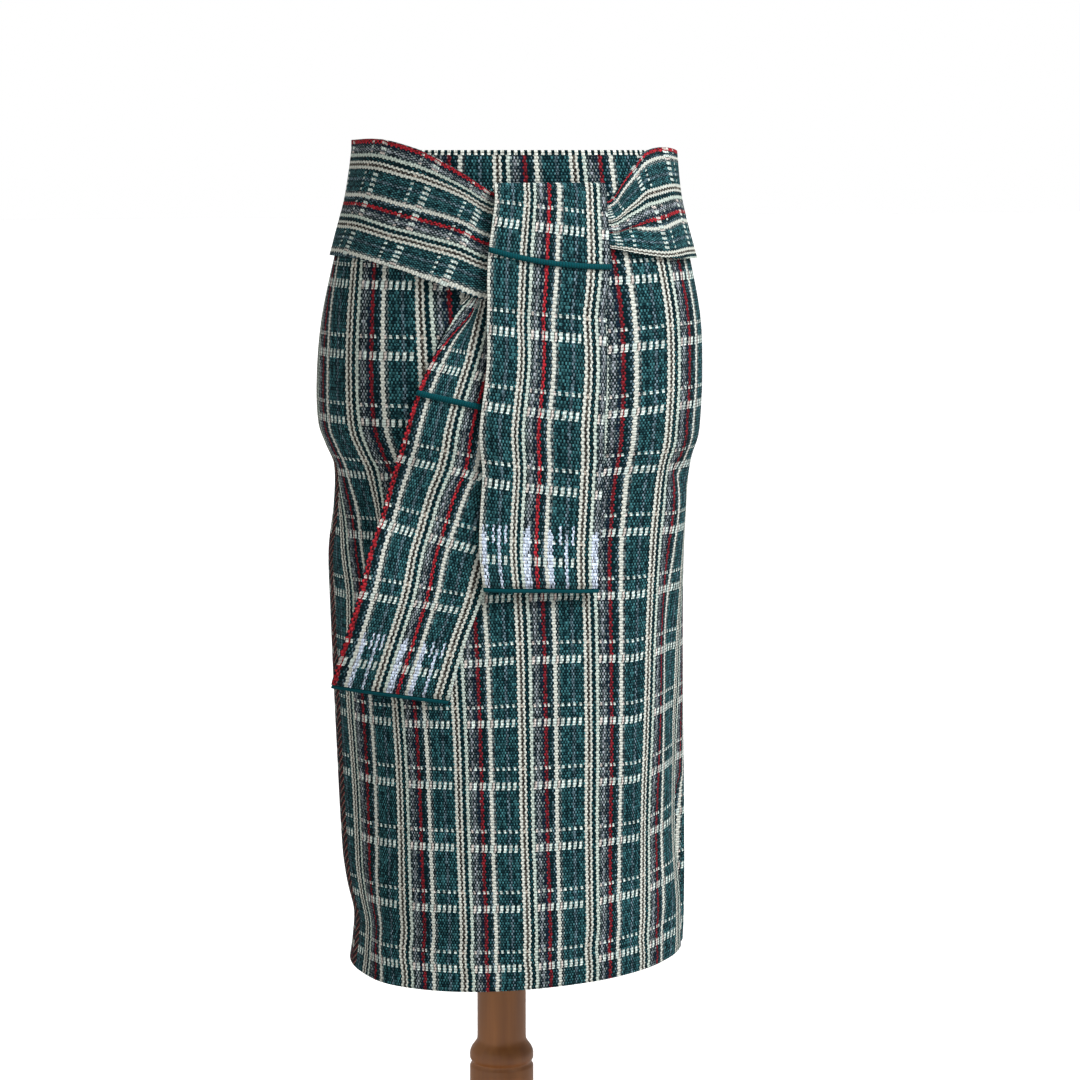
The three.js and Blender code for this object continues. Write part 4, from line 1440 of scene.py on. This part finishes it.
# Post and base
stand = {
    "poleRadius": 22.5, "columnRadius": 29.5, "top": 734.7, "gap": 0.3, "baseRadius": 190, "baseThickness": 25,
    "baseEdge": 1.4, "baseRound": 5, "segments": 96,
}
wood = {
    "dark": linear(106, 62, 30), "pale": linear(190, 126, 70), "ring": linear(104, 62, 32), "ringShare": 0.35,
    "alongGrain": 0.07, "grain": 90, "rings": 14, "roughness": (0.36, 0.5), "bump": 0.15, "depth": 0.0004,
    "coat": 0.12, "coatRoughness": 0.3,
}


def woodMaterial():
    material, sheet, shader = newMaterial("turnedWood")
    place = sheet.node("ShaderNodeTexCoord").outputs["Object"]
    stretch = sheet.node("ShaderNodeMapping")
    sheet.put(stretch.inputs["Vector"], place)
    stretch.inputs["Scale"].default_value = (1, 1, wood["alongGrain"])
    grain = sheet.node("ShaderNodeTexNoise")
    sheet.put(grain.inputs["Vector"], stretch.outputs[0])
    grain.inputs["Scale"].default_value = wood["grain"]
    grain.inputs["Detail"].default_value = 6
    rings = sheet.node("ShaderNodeTexWave", wave_type="RINGS", rings_direction="Z")
    sheet.put(rings.inputs["Vector"], stretch.outputs[0])
    rings.inputs["Scale"].default_value = wood["rings"]
    rings.inputs["Distortion"].default_value = 5
    rings.inputs["Detail"].default_value = 3
    colour = sheet.blend(grain.outputs["Fac"], wood["dark"], wood["pale"])
    colour = sheet.blend(sheet.times(rings.outputs["Fac"], wood["ringShare"]), colour, wood["ring"])
    sheet.put(shader.inputs["Base Color"], colour)
    sheet.put(shader.inputs["Roughness"], sheet.between(grain.outputs["Fac"], 0.3, 0.7, *wood["roughness"]))
    addRelief(sheet, shader, grain.outputs["Fac"], wood)
    shader.inputs["Coat Weight"].default_value = wood["coat"]
    shader.inputs["Coat Roughness"].default_value = wood["coatRoughness"]
    return material


turnedWood = woodMaterial()


def turnedPiece(name, profile, node):
    count = stand["segments"]
    inner = profile[1:-1]
    turns = [2 * math.pi * j / count for j in range(count)]
    points = [(radius * math.cos(turn), radius * math.sin(turn), z) for radius, z in inner for turn in turns]
    points += [(0, 0, profile[0][1]), (0, 0, profile[-1][1])]
    faces = []
    for i in range(len(inner) - 1):
        for j in range(count):
            k = (j + 1) % count
            faces.append([i * count + j, i * count + k, (i + 1) * count + k, (i + 1) * count + j])
    last = (len(inner) - 1) * count
    for j in range(count):
        k = (j + 1) % count
        faces.append([len(points) - 2, k, j])
        faces.append([len(points) - 1, last + j, last + k])
    piece = makeMesh(name, points, faces, {}, turnedWood)
    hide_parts(node)
    return piece


def arcProfile(centreRadius, centreHeight, size, start, end, steps):
    turns = [math.radians(mix(start, end, k / steps)) for k in range(steps + 1)]
    return [(centreRadius + size * math.cos(turn), centreHeight + size * math.sin(turn)) for turn in turns]


# Profiles from the axis out and back, as radius and height: a foot ring, the column, its groove, its
# shoulder and the pole
pole, column, baseTop = stand["poleRadius"], stand["columnRadius"], stand["baseThickness"]
postProfile = (
    [(0, baseTop + stand["gap"]), (38.5, baseTop + stand["gap"])]
    + arcProfile(35, baseTop + 5.3, 5, -60, 70, 10)
    + [(33, baseTop + 13), (30.5, baseTop + 18), (column, baseTop + 24), (column, 90), (column, 158)]
    + [(29, 159.2), (27.7, 161), (27.4, 162), (27.7, 163), (29, 164.8), (column, 166)]
    + [(column, 170), (29.1, 172.5), (27.8, 175.5), (25.5, 178.8), (23.6, 181.5), (22.7, 184), (pole, 187)]
    + [(pole, 300), (pole, 450), (pole, 600), (pole, stand["top"]), (0, stand["top"])]
)
turnedPiece("standPost", postProfile, "stand_post")
foot, lip = stand["baseEdge"], stand["baseRound"]
baseProfile = (
    [(0, 0), (stand["baseRadius"] - foot, 0)]
    + arcProfile(stand["baseRadius"] - foot, foot, foot, -90, 0, 4)
    + arcProfile(stand["baseRadius"] - lip, baseTop - lip, lip, 0, 90, 8)
    + [(120, baseTop), (60, baseTop), (0, baseTop)]
)
turnedPiece("standBase", baseProfile, "stand_base")
print("stand made")

# Floor and light
floor = {"reach": 40, "height": -0.0005, "shade": (0.52, 0.52, 0.51, 1), "seen": (0.97, 0.97, 0.97, 1), "glow": 0.25}


def floorPiece():
    reach, height = floor["reach"], floor["height"]
    corners = [(-reach, -reach, height), (reach, -reach, height), (reach, reach, height), (-reach, reach, height)]
    mesh = bpy.data.meshes.new("paleFloor")
    mesh.from_pydata(corners, [], [(0, 1, 2, 3)])
    piece = bpy.data.objects.new("paleFloor", mesh)
    bpy.context.collection.objects.link(piece)
    material, sheet, shader = newMaterial("paleFloor")
    seen = sheet.node("ShaderNodeLightPath").outputs["Is Camera Ray"]
    sheet.put(shader.inputs["Base Color"], sheet.blend(seen, floor["shade"], floor["seen"]))
    shader.inputs["Emission Color"].default_value = (1, 1, 1, 1)
    sheet.put(shader.inputs["Emission Strength"], sheet.times(seen, floor["glow"]))
    shader.inputs["Roughness"].default_value = 0.95
    mesh.materials.append(material)


floorPiece()

studio = {
    "ambient": 0.26,
    "ambientColour": (1.0, 0.985, 0.96),
    "backdrop": 1.0,
    "topBox": {"place": (1.0, -1.5, 2.2), "aim": (0, -0.1, 0.75), "size": 1.1, "power": 28},
    "suns": {
        "keySun": {"azimuth": 38, "elevation": 52, "spread": 24, "strength": 2.1, "colour": (1.0, 1.0, 1.0)},
        "backSun": {"azimuth": 165, "elevation": 40, "spread": 40, "strength": 1.1, "colour": (1.0, 1.0, 1.0)},
        "fillSun": {"azimuth": -62, "elevation": 16, "spread": 80, "strength": 0.55, "colour": (1.0, 0.97, 0.93)},
    },
}


def makeLamp(name, kind, settings):
    data = bpy.data.lights.new(name, kind)
    for key, value in settings.items():
        setattr(data, key, value)
    lamp = bpy.data.objects.new(name, data)
    bpy.context.collection.objects.link(lamp)
    return lamp


def lightStudio(settings):
    world = bpy.data.worlds.new("studio")
    bpy.context.scene.world = world
    world.use_nodes = True
    sheet = NodeSheet(world.node_tree)
    background = world.node_tree.nodes["Background"]
    seen = sheet.node("ShaderNodeLightPath").outputs["Is Camera Ray"]
    sheet.put(background.inputs[0], sheet.blend(seen, settings["ambientColour"] + (1,), (1, 1, 1, 1)))
    sheet.put(background.inputs[1], sheet.between(seen, 0.0, 1.0, settings["ambient"], settings["backdrop"]))
    for name, sun in settings["suns"].items():
        looks = {"energy": sun["strength"], "angle": math.radians(sun["spread"]), "color": sun["colour"]}
        lamp = makeLamp(name, "SUN", looks)
        lamp.rotation_euler = (math.radians(90 - sun["elevation"]), 0, math.radians(sun["azimuth"]))
    box = settings["topBox"]
    lamp = makeLamp("topBox", "AREA", {"size": box["size"], "energy": box["power"]})
    lamp.location = box["place"]
    x, y, z = (a - b for a, b in zip(box["aim"], box["place"]))
    lamp.rotation_euler = (math.atan2(math.hypot(x, y), -z), 0, math.atan2(-x, y))
    bpy.context.scene.view_settings.view_transform = "Standard"


lightStudio(studio)
print("light set")
